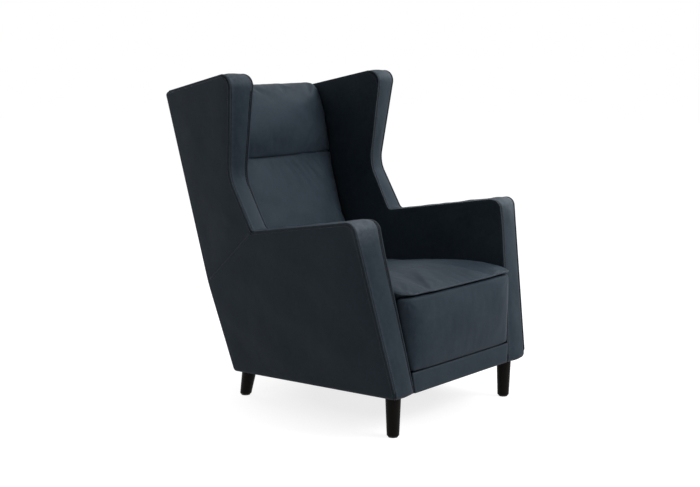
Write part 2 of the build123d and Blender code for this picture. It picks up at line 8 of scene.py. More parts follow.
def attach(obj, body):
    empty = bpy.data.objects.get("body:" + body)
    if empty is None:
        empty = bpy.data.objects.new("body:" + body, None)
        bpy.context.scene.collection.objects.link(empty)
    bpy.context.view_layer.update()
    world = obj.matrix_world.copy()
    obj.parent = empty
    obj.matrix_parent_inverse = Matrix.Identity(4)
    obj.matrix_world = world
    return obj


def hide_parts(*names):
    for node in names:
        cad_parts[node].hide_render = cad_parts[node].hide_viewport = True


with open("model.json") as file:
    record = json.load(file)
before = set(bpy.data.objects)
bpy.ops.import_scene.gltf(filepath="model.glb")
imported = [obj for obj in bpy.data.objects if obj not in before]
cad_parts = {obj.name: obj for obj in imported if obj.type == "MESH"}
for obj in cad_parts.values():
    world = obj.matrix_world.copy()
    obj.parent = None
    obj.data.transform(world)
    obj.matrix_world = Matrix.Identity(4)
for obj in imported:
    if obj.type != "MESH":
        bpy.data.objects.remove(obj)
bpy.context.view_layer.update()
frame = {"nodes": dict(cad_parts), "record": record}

print("stage: frame loaded,", len(frame["nodes"]), "nodes")

mm = 0.001  # shapes are worked out in millimetres, in the frame of the part, and scaled to metres in putMesh


def smooth(x, low, high):  # smooth step from 0 at low to 1 at high
    t = np.clip((x - low) / (high - low), 0, 1)
    return t * t * (3 - 2 * t)


def bell(x, width):  # 1 at 0, dying away on both sides over the width
    return np.exp(-(x / width) ** 2)


def nearSpot(y, z, spot):  # a round bell about a place in the side plane
    return bell(np.hypot(y - spot[0], z - spot[1]), spot[2])


def middleShare(x, half):  # 1 in the middle, falling in a parabola to 0 at the half width
    return 1 - np.clip(x / half, -1, 1) ** 2


def curveThrough(x, xs, ys):  # cubic Hermite curve through the given places, slopes from their neighbours
    xs, ys = np.asarray(xs, float), np.asarray(ys, float)
    slope = np.gradient(ys, xs)
    i = np.clip(np.searchsorted(xs, x) - 1, 0, len(xs) - 2)
    gap = xs[i + 1] - xs[i]
    t = np.clip((x - xs[i]) / gap, 0, 1)
    a = (1 + 2 * t) * (1 - t) ** 2 * ys[i] + t * (1 - t) ** 2 * gap * slope[i]
    return a + t * t * (3 - 2 * t) * ys[i + 1] + t * t * (t - 1) * gap * slope[i + 1]


def ripple(points, size, seed, waveCount=14):  # soft unevenness: sine waves in seeded directions, about -1 to 1
    dice = np.random.default_rng(seed)
    way = dice.normal(size=(waveCount, 3))
    way *= (2 * np.pi / size / np.linalg.norm(way, axis=1) * dice.uniform(0.6, 1.5, waveCount))[:, None]
    turn = dice.uniform(0, 2 * np.pi, waveCount)
    return np.sin(points @ way.T + turn).sum(-1) / np.sqrt(waveCount)


def ripples(points, rows, seedShift=0):  # several ripples added up, each row a size, a height and a seed
    return sum(height * ripple(points, size, seed + seedShift) for size, height, seed in rows)


def gridQuads(rows, cols):  # quads of a grid of points that closes round its columns
    i = np.arange(rows - 1)[:, None]
    j = np.arange(cols)[None, :]
    k = (j + 1) % cols
    return np.stack([i * cols + j, i * cols + k, (i + 1) * cols + k, (i + 1) * cols + j], -1).reshape(-1, 4)


def fan(ring, pole):  # triangles from a ring of points to one pole
    return np.stack([ring, np.roll(ring, -1), np.full(len(ring), pole)], -1)


def putMesh(name, points, quads, tris=np.zeros((0, 3), int), marks=None):
    mesh = bpy.data.meshes.new(name)
    loops = np.concatenate([quads.ravel(), tris.ravel()])
    starts = np.concatenate([np.arange(len(quads)) * 4, len(quads) * 4 + np.arange(len(tris)) * 3])
    mesh.vertices.add(len(points))
    mesh.vertices.foreach_set("co", (points * mm).astype(np.float32).ravel())
    mesh.loops.add(len(loops))
    mesh.loops.foreach_set("vertex_index", loops.astype(np.int32))
    mesh.polygons.add(len(starts))
    mesh.polygons.foreach_set("loop_start", starts.astype(np.int32))
    mesh.polygons.foreach_set("use_smooth", np.ones(len(starts), bool))
    mesh.update(calc_edges=True)
    for key, value in (marks or {}).items():
        mesh.attributes.new(key, "FLOAT", "POINT").data.foreach_set("value", value.astype(np.float32).ravel())
    thing = bpy.data.objects.new(name, mesh)
    bpy.context.scene.collection.objects.link(thing)
    return thing


def outward(points, quads, tris):  # turns all faces if the closed mesh has a negative volume
    points = points - points.mean(0)
    fans = np.concatenate([quads[:, [0, 1, 2]], quads[:, [0, 2, 3]], tris])
    a, b, c = points[fans[:, 0]], points[fans[:, 1]], points[fans[:, 2]]
    if np.einsum("ij,ij->i", a, np.cross(b, c)).sum() < 0:
        return quads[:, ::-1], tris[:, ::-1]
    return quads, tris


def closeRings(rings, marks=None, back=None):
    # rings of points as one closed part: a pole in the last ring, and one in the first ring or at the given back
    rows, cols = rings.shape[:2]
    count = rows * cols
    back = rings[0].mean(0) if back is None else back
    points = np.concatenate([rings.reshape(-1, 3), [rings[-1].mean(0), back]])
    tris = np.concatenate([fan(np.arange(count - cols, count), count), fan(np.arange(cols)[::-1], count + 1)])
    quads, tris = outward(points, gridQuads(rows, cols), tris)
    return points, quads, tris, {key: np.append(value, [0, 0]) for key, value in (marks or {}).items()}


def joinParts(parts):  # several (points, quads, tris, marks) as one
    starts = np.cumsum([0] + [len(part[0]) for part in parts])
    points = np.concatenate([part[0] for part in parts])
    quads, tris = (np.concatenate([part[k] + start for part, start in zip(parts, starts)]) for k in (1, 2))
    return points, quads, tris, {key: np.concatenate([part[3][key] for part in parts]) for key in parts[0][3]}


def mirrored(part):  # the same part on the other side of the middle plane
    points, quads, tris, marks = part
    return points * [-1, 1, 1], quads[:, ::-1], tris[:, ::-1], marks


def roundedPath(corners, radii, gap, closed=True):
    # straight runs joined by arcs of the given radii, as points about gap apart
    pts = np.asarray(corners, float)
    n = len(pts)
    runs = []
    for i in range(n):
        if not closed and i in (0, n - 1):
            runs.append(pts[i][None])
            continue
        a, b, c = pts[i - 1], pts[i], pts[(i + 1) % n]
        d0, d1 = (a - b) / np.linalg.norm(a - b), (c - b) / np.linalg.norm(c - b)
        half = np.arccos(np.clip(d0 @ d1, -1, 1)) / 2
        middle = b + (d0 + d1) / np.linalg.norm(d0 + d1) * radii[i] / np.sin(half)
        arm = b + d0 * radii[i] / np.tan(half) - middle
        end = b + d1 * radii[i] / np.tan(half) - middle
        sweep = np.arctan2(arm[0] * end[1] - arm[1] * end[0], arm @ end)
        turn = sweep * np.linspace(0, 1, 3 + int(abs(sweep) * radii[i] / gap * 2))
        runs.append(middle + np.stack([arm[0] * np.cos(turn) - arm[1] * np.sin(turn),
                                       arm[0] * np.sin(turn) + arm[1] * np.cos(turn)], -1))
    path = []
    for i, run in enumerate(runs):
        path.append(run)
        if i == n - 1 and not closed:
            break
        to = runs[(i + 1) % n][0]
        steps = max(2, int(np.linalg.norm(to - run[-1]) / gap))
        path.append(run[-1] + (to - run[-1]) * (np.arange(1, steps) / steps)[:, None])
    return np.concatenate(path)


def tangents(path, closed):
    way = np.roll(path, -1, 0) - np.roll(path, 1, 0) if closed else np.gradient(path, axis=0)
    return way / np.linalg.norm(way, axis=1, keepdims=True)


def leftOf(path, closed):  # square to a flat path on its left: outward, as the sides run clockwise
    way = tangents(path, closed)
    return np.stack([-way[:, 1], way[:, 0]], -1)


def evenly(path, gap):  # the same open line with evenly spaced points
    at = np.concatenate([[0], np.cumsum(np.linalg.norm(np.diff(path, axis=0), axis=1))])
    places = np.arange(gap / 2, at[-1], gap)
    return np.stack([np.interp(places, at, path[:, k]) for k in range(path.shape[1])], -1)


def evened(values, rounds):  # values along a closed line, each round drawn towards their neighbours
    for step in range(rounds):
        values = (np.roll(values, 1) + 2 * values + np.roll(values, -1)) / 4
    return values


def panelRings(path, roll, thickness, centre, gap):
    # rings of a padded panel: up the wall, over a quarter-round edge set in square to it, then straight to the centre
    # gives each ring's place in the plane, its drop below the face and its distance from the edge
    before = path - np.roll(path, 1, 0)
    after = np.roll(path, -1, 0) - path
    before, after = (run / np.linalg.norm(run, axis=1, keepdims=True) for run in (before, after))
    way = (before + after) / np.linalg.norm(before + after, axis=1, keepdims=True)
    area = np.sum(path[:, 0] * np.roll(path[:, 1], -1) - np.roll(path[:, 0], -1) * path[:, 1])
    mitre = 1 / np.clip(np.sum(before * way, 1, keepdims=True), 0.45, 1)
    inward = np.stack([-way[:, 1], way[:, 0]], -1) * np.sign(area) * mitre
    roll = np.broadcast_to(roll, len(path))[:, None].astype(float)
    angle = np.radians([0, 15, 30, 45, 60, 75, 90])
    inset = [0 * roll + 0.01] + [roll * (1 - np.cos(a)) for a in angle] + [roll + 2]
    drop = [0 * roll + thickness] + [np.minimum(roll * (1 - np.sin(a)), thickness - 0.2) for a in angle] + [0 * roll]
    places = [path + inward * d for d in inset]
    rim, reach = places[-1], np.linalg.norm(np.asarray(centre) - places[-1], axis=1, keepdims=True)
    steps = int(reach.max() / gap)
    for share in np.arange(1, steps) / steps:
        places.append(rim + (np.asarray(centre) - rim) * share)
        inset.append(roll + 2 + reach * share)
        drop.append(0 * roll)
    return np.stack(places), np.stack(drop)[..., 0], np.stack(inset)[..., 0]


def softDistance(places, path):
    # distance to the edge that stays smooth at corners: two over the sum of edge steps by distance cubed, rooted
    step = np.linalg.norm(np.roll(path, -1, 0) - np.roll(path, 1, 0), axis=1) / 2
    flat = places.reshape(-1, 2)
    total = np.concatenate([(step / (np.linalg.norm(part[:, None] - path[None], axis=2) ** 3 + 8)).sum(1)
                            for part in np.array_split(flat, 24)])
    return np.sqrt(2 / total).reshape(places.shape[:-1])


def swell(deep, drop, reach):  # on a panel's face, from 0 at the edge towards 1 over the reach
    return (1 - np.exp(-deep / reach)) * (drop < 0.01)


def thinPanel(corners, radius, roll, thickness, gaps, lay, marked=False):
    # a flat panel with rolled edges, where lay gives a place from its two plane coordinates and the drop below its face
    middle = np.mean(corners, 0)
    rings, drop, inset = panelRings(roundedPath(corners, [radius] * 4, gaps[0]), roll, thickness, middle, gaps[1])
    # painted shade: the second mark darkens the colour towards the panel's edges, in the groove
    marks = {"wear": 0 * drop, "tuck": np.exp(-inset / 2)} if marked else {}
    return closeRings(lay(rings[..., 0], rings[..., 1], drop), marks, lay(*middle, thickness))


# The side shells, drawn in the plane of y and z. A face is a plane: half width at a place y, z and its two slopes.
shell = {
    "corners": [(-492, 131), (-386, 658), (67, 581), (166, 744), (123, 1079), (492, 1005), (251, 80.5)],
    "radii": [14, 32, 20, 110, 50, 16, 14], "gap": 8, "centre": (215, 520), "ringGap": 9,
    "outerArm": (343, -492, 131, -0.0606, 0.150), "outerWing": (376.62, 67, 581, -0.12097, 0.0726), "outerBlend": 1,
    "innerArm": (246, -492, 131, -0.009, 0.1366), "innerWing": (308.3, -492, 587, -0.009, 0.0111), "innerBlend": 2.5,
    "leanAt": [80, 131, 300, 450, 600, 680], "lean": [-4, -4, 2, 7, 11, 11], "wingLean": 9, "wingLeanFrom": (600, 760),
    "seamSlope": 0.78, "edgeRoll": 3.6, "edgeSeam": 2.4, "rearRoll": 8, "baseRoll": 6,
    "rubbedAndHighlit": [(-384, 642, 42, 1.0), (130, 1070, 40, 0.5)],  # y, z, width and share of each paler corner: rubbed leather with a painted highlight
}
corners = np.array(shell["corners"], float)
toe, nose, junction, elbow, wingTip, rearTop, heel = corners


def lowerPlane(y, z, names, blend):  # the lower of two planes, rounded over the blend where they meet
    halves = [half + alongZ * (z - z0) + alongY * (y - y0)
              for half, y0, z0, alongY, alongZ in (shell[name] for name in names)]
    return -np.logaddexp(-halves[0] / blend, -halves[1] / blend) * blend


def outerX(y, z):  # half width of the outer face: the arm's plane, or the wing's above the slanted seam
    return lowerPlane(y, z, ("outerArm", "outerWing"), shell["outerBlend"])


def innerX(y, z):  # half width between the arms: it flares up to the wings, then runs nearly straight
    return lowerPlane(y, z, ("innerArm", "innerWing"), shell["innerBlend"])


def lineDistance(points, a, b):
    d = (b - a) / np.linalg.norm(b - a)
    return np.abs((points[:, 0] - a[0]) * d[1] - (points[:, 1] - a[1]) * d[0])


def innerShift(y, z, out):  # on edges that face forward, the boxing's inner edge stands further out than its outer edge
    front = curveThrough(z, shell["leanAt"], shell["lean"])
    wing = shell["wingLean"] * smooth(z, *shell["wingLeanFrom"])
    return np.where(y < -200, front, wing) * np.clip(-out[..., 0], 0, 1) ** 2


outline = roundedPath(corners, shell["radii"], shell["gap"])


def edgeRolls(path):  # the roll of the edge, wider along the rear and the base
    rolls = np.full(len(path), float(shell["edgeRoll"]))
    rolls[lineDistance(path, rearTop, heel) < 2] = shell["rearRoll"]
    rolls[lineDistance(path, heel, toe) < 2] = shell["baseRoll"]
    return evened(rolls, 6)


def coverOutline():  # the outline drawn in where the welt runs, to leave it a groove
    free = (lineDistance(outline, rearTop, heel) > 3) & (lineDistance(outline, heel, toe) > 3)
    return outline - leftOf(outline, True) * evened(shell["edgeSeam"] * free, 4)[:, None]


def fromSeam(y, z):  # signed distance from the slanted seam between arm and wing
    return (z - junction[1] + shell["seamSlope"] * (y - junction[0])) / np.hypot(1, shell["seamSlope"])


def wearAndHighlightAt(points):  # paler patches, rubbed leather with a painted highlight: the front top corner of the arm and the wing's tip
    return sum(spot[3] * nearSpot(points[..., 1], points[..., 2], spot) for spot in shell["rubbedAndHighlit"])


cover = {"thickness": 7.5, "puff": 3.5, "puffReach": 60, "seamPull": 0.75, "seamReach": 35,
         "ripples": [(190, 1.0, 11), (70, 0.25, 31)], "rippleFade": (8, 90), "rubbedEdge": 0.25, "rubbedAndHighlitReach": 12,
         "edgeShadeReach": 1.3, "seamShade": 0.5, "seamShadeReach": 7}


def outerCover(side):
    # one padded panel on the outer face, drawn in along the slanted seam
    rim = coverOutline()
    rings, drop, inset = panelRings(rim, edgeRolls(rim), cover["thickness"], shell["centre"], shell["ringGap"])
    y, z = rings[..., 0], rings[..., 1]
    deep, seam = softDistance(rings, rim), np.abs(fromSeam(y, z))
    puff = cover["puff"] * swell(deep, drop, cover["puffReach"])
    puff = puff * (1 - cover["seamPull"] * np.exp(-seam / cover["seamReach"]))
    wave = ripples(np.stack([0 * y, y, z], -1), cover["ripples"], 5 * side)
    x = outerX(y, z) - drop + puff + wave * smooth(np.minimum(deep, seam), *cover["rippleFade"])
    points = np.stack([x, y, z], -1)
    edge = cover["rubbedEdge"] * bell(inset - shell["edgeRoll"], 5)
    # painted shade: the colour darkens along the slanted seam and towards the edges
    seamShade = cover["seamShade"] * np.exp(-seam / cover["seamShadeReach"])
    # painted highlight: the pale mark also lightens the rubbed corners
    marks = {"wear": edge + wearAndHighlightAt(points) * np.exp(-inset / cover["rubbedAndHighlitReach"]),
             "tuck": np.maximum(np.exp(-inset / cover["edgeShadeReach"]), seamShade)}
    return closeRings(points, marks, [outerX(*shell["centre"]) - cover["thickness"], *shell["centre"]])


inside = {"thickness": 14, "puff": 0.5, "freePuff": 3.5, "puffReach": 50, "seatTop": (455, 560), "backFront": (-60, 80),
          "backLean": 0.26, "ripples": [(150, 0.9, 51), (55, 0.3, 61)], "rippleFade": (6, 60), "shiftReach": 60,
          "puckerFade": (4, 25), "pucker": (150, 1040, 60), "puckerPitch": 7, "puckerHeight": 0.9}


def innerPad(side):
    # a padded panel on the inner face, fuller where it is free of the seat and the back, puckered near the wing's tip
    s = inside
    rings, drop, inset = panelRings(outline, edgeRolls(outline), s["thickness"], shell["centre"], shell["ringGap"])
    y, z = rings[..., 0], rings[..., 1]
    out = leftOf(outline, True)
    shift = innerShift(y, z, out) * np.exp(-inset / s["shiftReach"])
    y, z = y + shift * out[:, 0], z + shift * out[:, 1]
    free = smooth(z, *s["seatTop"]) * smooth(-y + s["backLean"] * (z - s["seatTop"][1]), *s["backFront"])
    deep = softDistance(rings, outline)
    puff = swell(deep, drop, s["puffReach"]) * (s["puff"] + s["freePuff"] * free)
    wave = ripples(np.stack([0 * y, y, z], -1), s["ripples"], side) * free * smooth(deep, *s["rippleFade"])
    pucker = nearSpot(y, z, s["pucker"]) * np.sin((y - 0.8 * z) / s["puckerPitch"] + 2 * side)
    pucker = pucker * s["puckerHeight"] * smooth(inset, *s["puckerFade"])
    points = np.stack([innerX(y, z) + drop - puff - wave - pucker, y, z], -1)
    # painted shade: the second mark darkens the colour towards the edges, in the groove
    marks = {"wear": 0.2 * bell(inset - 4, 4), "tuck": np.exp(-inset / 2)}
    return closeRings(points, marks, [innerX(*shell["centre"]) + s["thickness"], *shell["centre"]])


boxing = {"roll": 4.2, "crown": 2.6, "thickness": 9, "outerGap": 5.4, "innerGap": 5.0, "gap": 6,
          "flange": 4.6, "grooveDepth": 5.2, "radii": [0, 12, 32, 20, 110, 38, 12, 0],
          "ripples": [(90, 0.8, 71), (34, 0.3, 75)], "rippleFade": (6, 26), "armTop": (560, 600), "armRear": (-60, 60),
          "creased": 0.8, "armCreased": 0.5, "puckerWidth": 50, "puckerPitch": 5.5, "puckerHeight": 0.35}
boxingPath = roundedPath([heel + [-30, 2], toe, nose, junction, elbow, wingTip, rearTop, rearTop + [-4, -16]],
                         boxing["radii"], boxing["gap"], closed=False)


def edgeBand(side):
    # a rounded strip carried along the edge, from the outer seam to the inner seam, with a flange in the groove
    # u runs across the strip and h stands out from the edge
    s = boxing
    roll, flange, groove = s["roll"], s["flange"], s["grooveDepth"]
    out = leftOf(boxingPath, False)
    y, z = boxingPath[:, 0], boxingPath[:, 1]
    start, end = outerX(y, z) - s["outerGap"], innerX(y, z) + s["innerGap"]
    width = (start - end)[:, None]
    angle = np.radians([0, 18, 36, 54, 72, 90])
    across = np.linspace(0, 1, 15)[1:-1]
    u = np.concatenate([[-flange, -flange, -0.5], roll * (1 - np.cos(angle))])[None, :] + 0 * width
    h = np.concatenate([[-s["thickness"], -groove, -groove], roll * (np.sin(angle) - 1)])
    inner = u[:, -1:] + (width - 2 * roll) * across[None, :]
    u = np.concatenate([u, inner, width - u[:, ::-1]], 1)
    h = np.concatenate([h, s["crown"] * (1 - (2 * across - 1) ** 2), h[::-1]])[None, :] + 0 * u
    share = np.clip(u / width, 0, 1)
    x = start[:, None] - u
    place = np.stack([x, y[:, None] + 0 * u, z[:, None] + 0 * u], -1)
    fromEdge = np.minimum(u, width - u)
    calm = smooth(fromEdge, *s["rippleFade"])
    onArm = smooth(-place[..., 1], *s["armRear"]) * smooth(place[..., 2], *s["armTop"])  # more creased on the arm's top
    creased = s["creased"] + s["armCreased"] * onArm
    h = h + ripples(place, s["ripples"], side) * calm * creased
    puckers = nearSpot(place[..., 1], place[..., 2], (*nose, s["puckerWidth"]))
    h = h + puckers * np.sin(x / s["puckerPitch"] + side) * s["puckerHeight"] * calm
    lift = innerShift(y, z, out)[:, None] * share + h
    place[..., 1] += lift * out[:, :1]
    place[..., 2] += lift * out[:, 1:]
    # painted highlight: the pale mark also lightens the rubbed corners on the strip
    # painted shade: the second mark darkens the colour down into the grooves beside the strip
    marks = {"wear": 0.3 * bell(fromEdge - roll, 5) + wearAndHighlightAt(place) * (1.5 - 0.9 * share),
             "tuck": np.exp(-np.maximum(fromEdge, 0) / 1.6) * (h < 0.5)}
    return closeRings(place, marks)


def tube(path, normal, radius, flat=1.0, sides=10):
    # an oval profile carried along a 3-D path, lying flat on the given normal
    way = tangents(path, False)
    across = np.cross(way, normal)
    across /= np.linalg.norm(across, axis=1, keepdims=True)
    up = np.cross(across, way)
    angle = (np.arange(sides) / sides * 2 * np.pi)[None, :, None]
    rings = path[:, None] + (across[:, None] * np.cos(angle) + up[:, None] * np.sin(angle) * flat) * radius
    # painted highlight: the whole welt is painted a little paler
    return closeRings(rings, {"wear": np.full(rings.shape[:2], 0.3), "tuck": np.zeros(rings.shape[:2])})


stitch = {"pitch": 6, "length": 4.4, "radius": 0.65, "sink": 0.15}


def stitchRow(path, normal, radius=stitch["radius"]):
    # one short rounded stitch for each pitch: rings along it, narrow at both ends, set into the leather
    spots = evenly(np.concatenate([path, normal], 1), stitch["pitch"])
    place, up = spots[:, :3], spots[:, 3:]
    way = tangents(place, False)
    up = up / np.linalg.norm(up, axis=1, keepdims=True)
    across = np.cross(way, up)
    along = np.array([-0.5, -0.36, 0, 0.36, 0.5]) * stitch["length"]
    size = np.array([0.25, 0.85, 1, 0.85, 0.25]) * radius
    low = np.array([-1.2, -0.3, 0.15, -0.3, -1.2]) * radius
    angle = np.arange(6) / 6 * 2 * np.pi
    sideways, upward = size[:, None] * np.cos(angle), size[:, None] * np.sin(angle) + low[:, None] - stitch["sink"]
    points = (place[:, None, None] + way[:, None, None] * along[None, :, None, None]
              + across[:, None, None] * sideways[None, ..., None]
              + up[:, None, None] * upward[None, ..., None]).reshape(-1, 3)
    first = (np.arange(len(place)) * len(along) * len(angle))[:, None, None]  # first point of each stitch
    quads = (gridQuads(len(along), len(angle))[None] + first).reshape(-1, 4)
    cap = np.array([[0, 1, 2], [0, 2, 3], [0, 3, 4], [0, 4, 5]])
    tris = (np.concatenate([cap[:, [0, 2, 1]], cap + 24])[None] + first).reshape(-1, 3)
    return points, *outward(points, quads, tris), {}


trim = {"radii": [0, 32, 20, 110, 38, 0], "gap": 3, "start": [3, 14], "endShare": 0.035, "endSunk": 5,
        "outerRadius": 2.5, "innerRadius": 2.25, "outerWelt": (-2.6, -1.6), "innerWelt": (2.3, -1.5),
        "onBand": (-12.4, 0.5), "onCover": (0.45, -9.0), "onInner": (11.6, 0.4), "innerThread": 0.6,
        "seamStart": [6, -4.7], "seamEnd": 309.0, "seamRadius": 4.4, "seamFlat": 0.34, "seamRows": (-6, 6)}


def sideTrim():
    # the welts along both edges, the felled slanted seam, and the stitches beside them
    # each line lies by its offsets sideways from the outer or inner face and outward from the edge
    s = trim
    last = rearTop + (wingTip - rearTop) * s["endShare"]
    path = roundedPath([toe + s["start"], nose, junction, elbow, wingTip, last], s["radii"], s["gap"], closed=False)
    out = leftOf(path, False)
    y, z = path[:, 0], path[:, 1]
    up = np.concatenate([np.zeros((len(path), 1)), out], 1)
    sideways = np.zeros((len(path), 3)) + [1, 0, 0]
    ends = np.arange(len(path))
    sunk = s["endSunk"] * smooth(-np.minimum(ends, ends[::-1]), -5, 0)[:, None]
    beyond = innerShift(y, z, out)[:, None]

    def line(face, offsets, shift=0):
        return np.stack([face(y, z) + offsets[0], y, z], -1) + (offsets[1] + shift) * up

    outerLine = line(outerX, s["outerWelt"]) - sunk * (up + sideways)
    innerLine = line(innerX, s["innerWelt"], beyond) - sunk * (up - sideways)
    begin = junction + s["seamStart"]
    end = np.array([s["seamEnd"], junction[1] - shell["seamSlope"] * (s["seamEnd"] - junction[0])])
    seam = begin + (end - begin) * np.linspace(0, 1, 60)[:, None]
    across = np.array([shell["seamSlope"], 1]) / np.hypot(shell["seamSlope"], 1)
    flat = np.zeros((len(seam), 3)) + [1, 0, 0]

    def beside(offset, lift):
        spot = seam + across * offset
        return np.stack([outerX(spot[:, 0], spot[:, 1]) + lift, spot[:, 0], spot[:, 1]], -1)

    welts = [tube(outerLine, up + sideways, s["outerRadius"]), tube(innerLine, up - sideways, s["innerRadius"]),
             tube(beside(0, -0.1), flat, s["seamRadius"], s["seamFlat"])]  # the last is the allowance, sewn down flat
    rows = [stitchRow(beside(offset, 0.5), flat) for offset in s["seamRows"]]
    rows += [stitchRow(line(outerX, s["onBand"]), up), stitchRow(line(outerX, s["onCover"]), sideways),
             stitchRow(line(innerX, s["onInner"], beyond), up, s["innerThread"])]
    return joinParts(welts), joinParts(rows)


def leaningFrame(origin, lean):
    # a frame in the plane of y and z that leans back by an angle: v rearward, w up
    # gives the place of x, v and w, the x, v and w of a place, and the half width between the arms less a gap
    cos, sin = np.cos(lean), np.sin(lean)

    def place(x, v, w):
        y, z = origin[0] + v * cos + w * sin, origin[1] - v * sin + w * cos
        return np.stack([x + 0 * y, y, z], -1)

    def coords(points):
        y, z = points[..., 1] - origin[0], points[..., 2] - origin[1]
        return points[..., 0], y * cos - z * sin, y * sin + z * cos

    def half(v, w, gap):
        spot = place(0 * v, v, w)
        return innerX(spot[..., 1], spot[..., 2]) - gap

    return place, coords, half


backLean, backPivot = np.radians(17.406), (215.41, 363.56)
rearPlace = leaningFrame(heel, np.arctan2(*(rearTop - heel)))[0]  # the rear slope
deckPlace, deckCoords, deckHalf = leaningFrame(toe, np.arctan2(toe[1] - heel[1], heel[0] - toe[0]))  # the underside
backPlace, backCoords, backHalf = leaningFrame(backPivot, backLean)  # the reclining back, from its pivot

outerBackSettings = {"sideInset": 8.4, "foot": 3, "bend": 306.6, "topInset": 11, "radii": [8, 8, 60, 8, 8, 60],
                     "roll": 4, "thickness": 7.5, "puff": 6, "puffReach": 70, "sink": 2.0, "ripples": [(210, 1.1, 91)],
                     "rippleFade": (6, 90), "stripHalf": 306.0, "stripDepth": 11, "stripRise": 12, "stripDrop": 17,
                     "stripTaper": 0.10}


def outerBack():
    # the panel behind: a padded panel on the rear slope, and a rolled strip along its top between the wings
    s = outerBackSettings
    length = np.linalg.norm(rearTop - heel)
    low, high = s["foot"], length - s["topInset"]
    slope = (rearTop - heel) / length
    foot, bend, top = (outerX(*(heel + slope * t)) - s["sideInset"] for t in (low, s["bend"], high))
    path = roundedPath([(-foot, low), (foot, low), (bend, s["bend"]), (top, high), (-top, high), (-bend, s["bend"])],
                       s["radii"], 9)
    rings, drop, inset = panelRings(path, s["roll"], s["thickness"], (0, length / 2), 10)
    a, b = rings[..., 0], rings[..., 1]
    deep = softDistance(rings, path)
    lift = swell(deep, drop, s["puffReach"]) * s["puff"] - drop - s["sink"]
    lift = lift + ripples(np.stack([a, b, 0 * a], -1), s["ripples"]) * smooth(deep, *s["rippleFade"])
    # painted shade: the second mark darkens the colour towards the panel's edges
    marks = {"wear": 0.2 * bell(inset - s["roll"], 5), "tuck": np.exp(-inset / 2)}
    panel = closeRings(rearPlace(a, lift, b), marks, rearPlace(0.0, -s["thickness"] - s["sink"], length / 2))
    angle = np.radians(np.linspace(-10, 190, 16))[None, :]
    across = np.linspace(-s["stripHalf"], s["stripHalf"], 90)[:, None]
    bulge = 1 - s["stripTaper"] * (across / s["stripHalf"]) ** 2
    lift = -s["stripDepth"] + s["stripDepth"] * np.cos(angle) * bulge
    rise = length - s["stripDrop"] + s["stripRise"] * np.sin(angle) * bulge
    strip = closeRings(rearPlace(across + 0 * lift, lift, rise), {"wear": 0 * lift, "tuck": 0 * lift})
    return joinParts([panel, strip])


# the footrest's hinge, and the room that its top edge needs under the seat
hinge = {"v": 19, "w": 265, "clear": 32.0, "clearMiddle": 2, "rise": 32.2, "lean": 0.14, "half": 268}
seatSettings = {"front": -3, "rear": 650, "floor": 152, "sideGap": 3.2, "wall": 150, "centre": 330.0,
                "frontRoll": 12, "sideRoll": 7, "crown": 2, "crownHalf": 280, "pullIn": 9, "frontBulge": 9,
                "rollFade": (-90, -20), "bulgeFade": (-220, -10), "pullFade": (-110, -10), "slackFade": (-60, 60),
                "pullLess": 0.8, "bulgeHalf": 268, "corners": [40, 24, 26, 26], "weltEnd": 70,
                "topAt": [-16, 10, 36, 85, 140, 195, 280, 360, 450, 560, 650],
                "topHeight": [301, 307, 314, 320, 323, 324, 322, 318, 314, 307, 299],
                "heldDepth": 6, "heldEdge": 3, "heldRear": 590, "sat": 2.5, "satAt": 300, "satSize": (150, 170),
                "ripples": [(170, 0.9, 101)], "creases": (60, 0.45, 103), "fineCreases": (26, 0.2, 104),
                "voxel": 5.5, "pressure": 4, "slack": 0.012, "cap": 24}


def frontBulge(x, v):  # the front stands forward in the middle and dies away behind
    s = seatSettings
    return s["frontBulge"] * middleShare(x, s["bulgeHalf"]) * smooth(-v, *s["bulgeFade"])


def seatUnder(x, v):
    # the underside: a lip over the raised footrest, hollowed in an arc about its hinge, then down to the seat frame
    reach = hinge["clear"] + hinge["clearMiddle"] * middleShare(x, hinge["half"])
    behind = v - hinge["v"]
    arch = hinge["w"] + np.sqrt(np.clip(reach ** 2 - behind ** 2, 0, None))
    lip = hinge["w"] + hinge["rise"] + hinge["lean"] * behind
    arch = np.where(behind < 0, np.maximum(arch, lip), arch)
    return arch + (seatSettings["floor"] - arch) * smooth(v, hinge["v"] + reach + 2, hinge["v"] + reach + 10)


def seatTop(x, v):  # the height of the crowned top
    s = seatSettings
    return curveThrough(v, s["topAt"], s["topHeight"]) + s["crown"] * middleShare(x, s["crownHalf"])


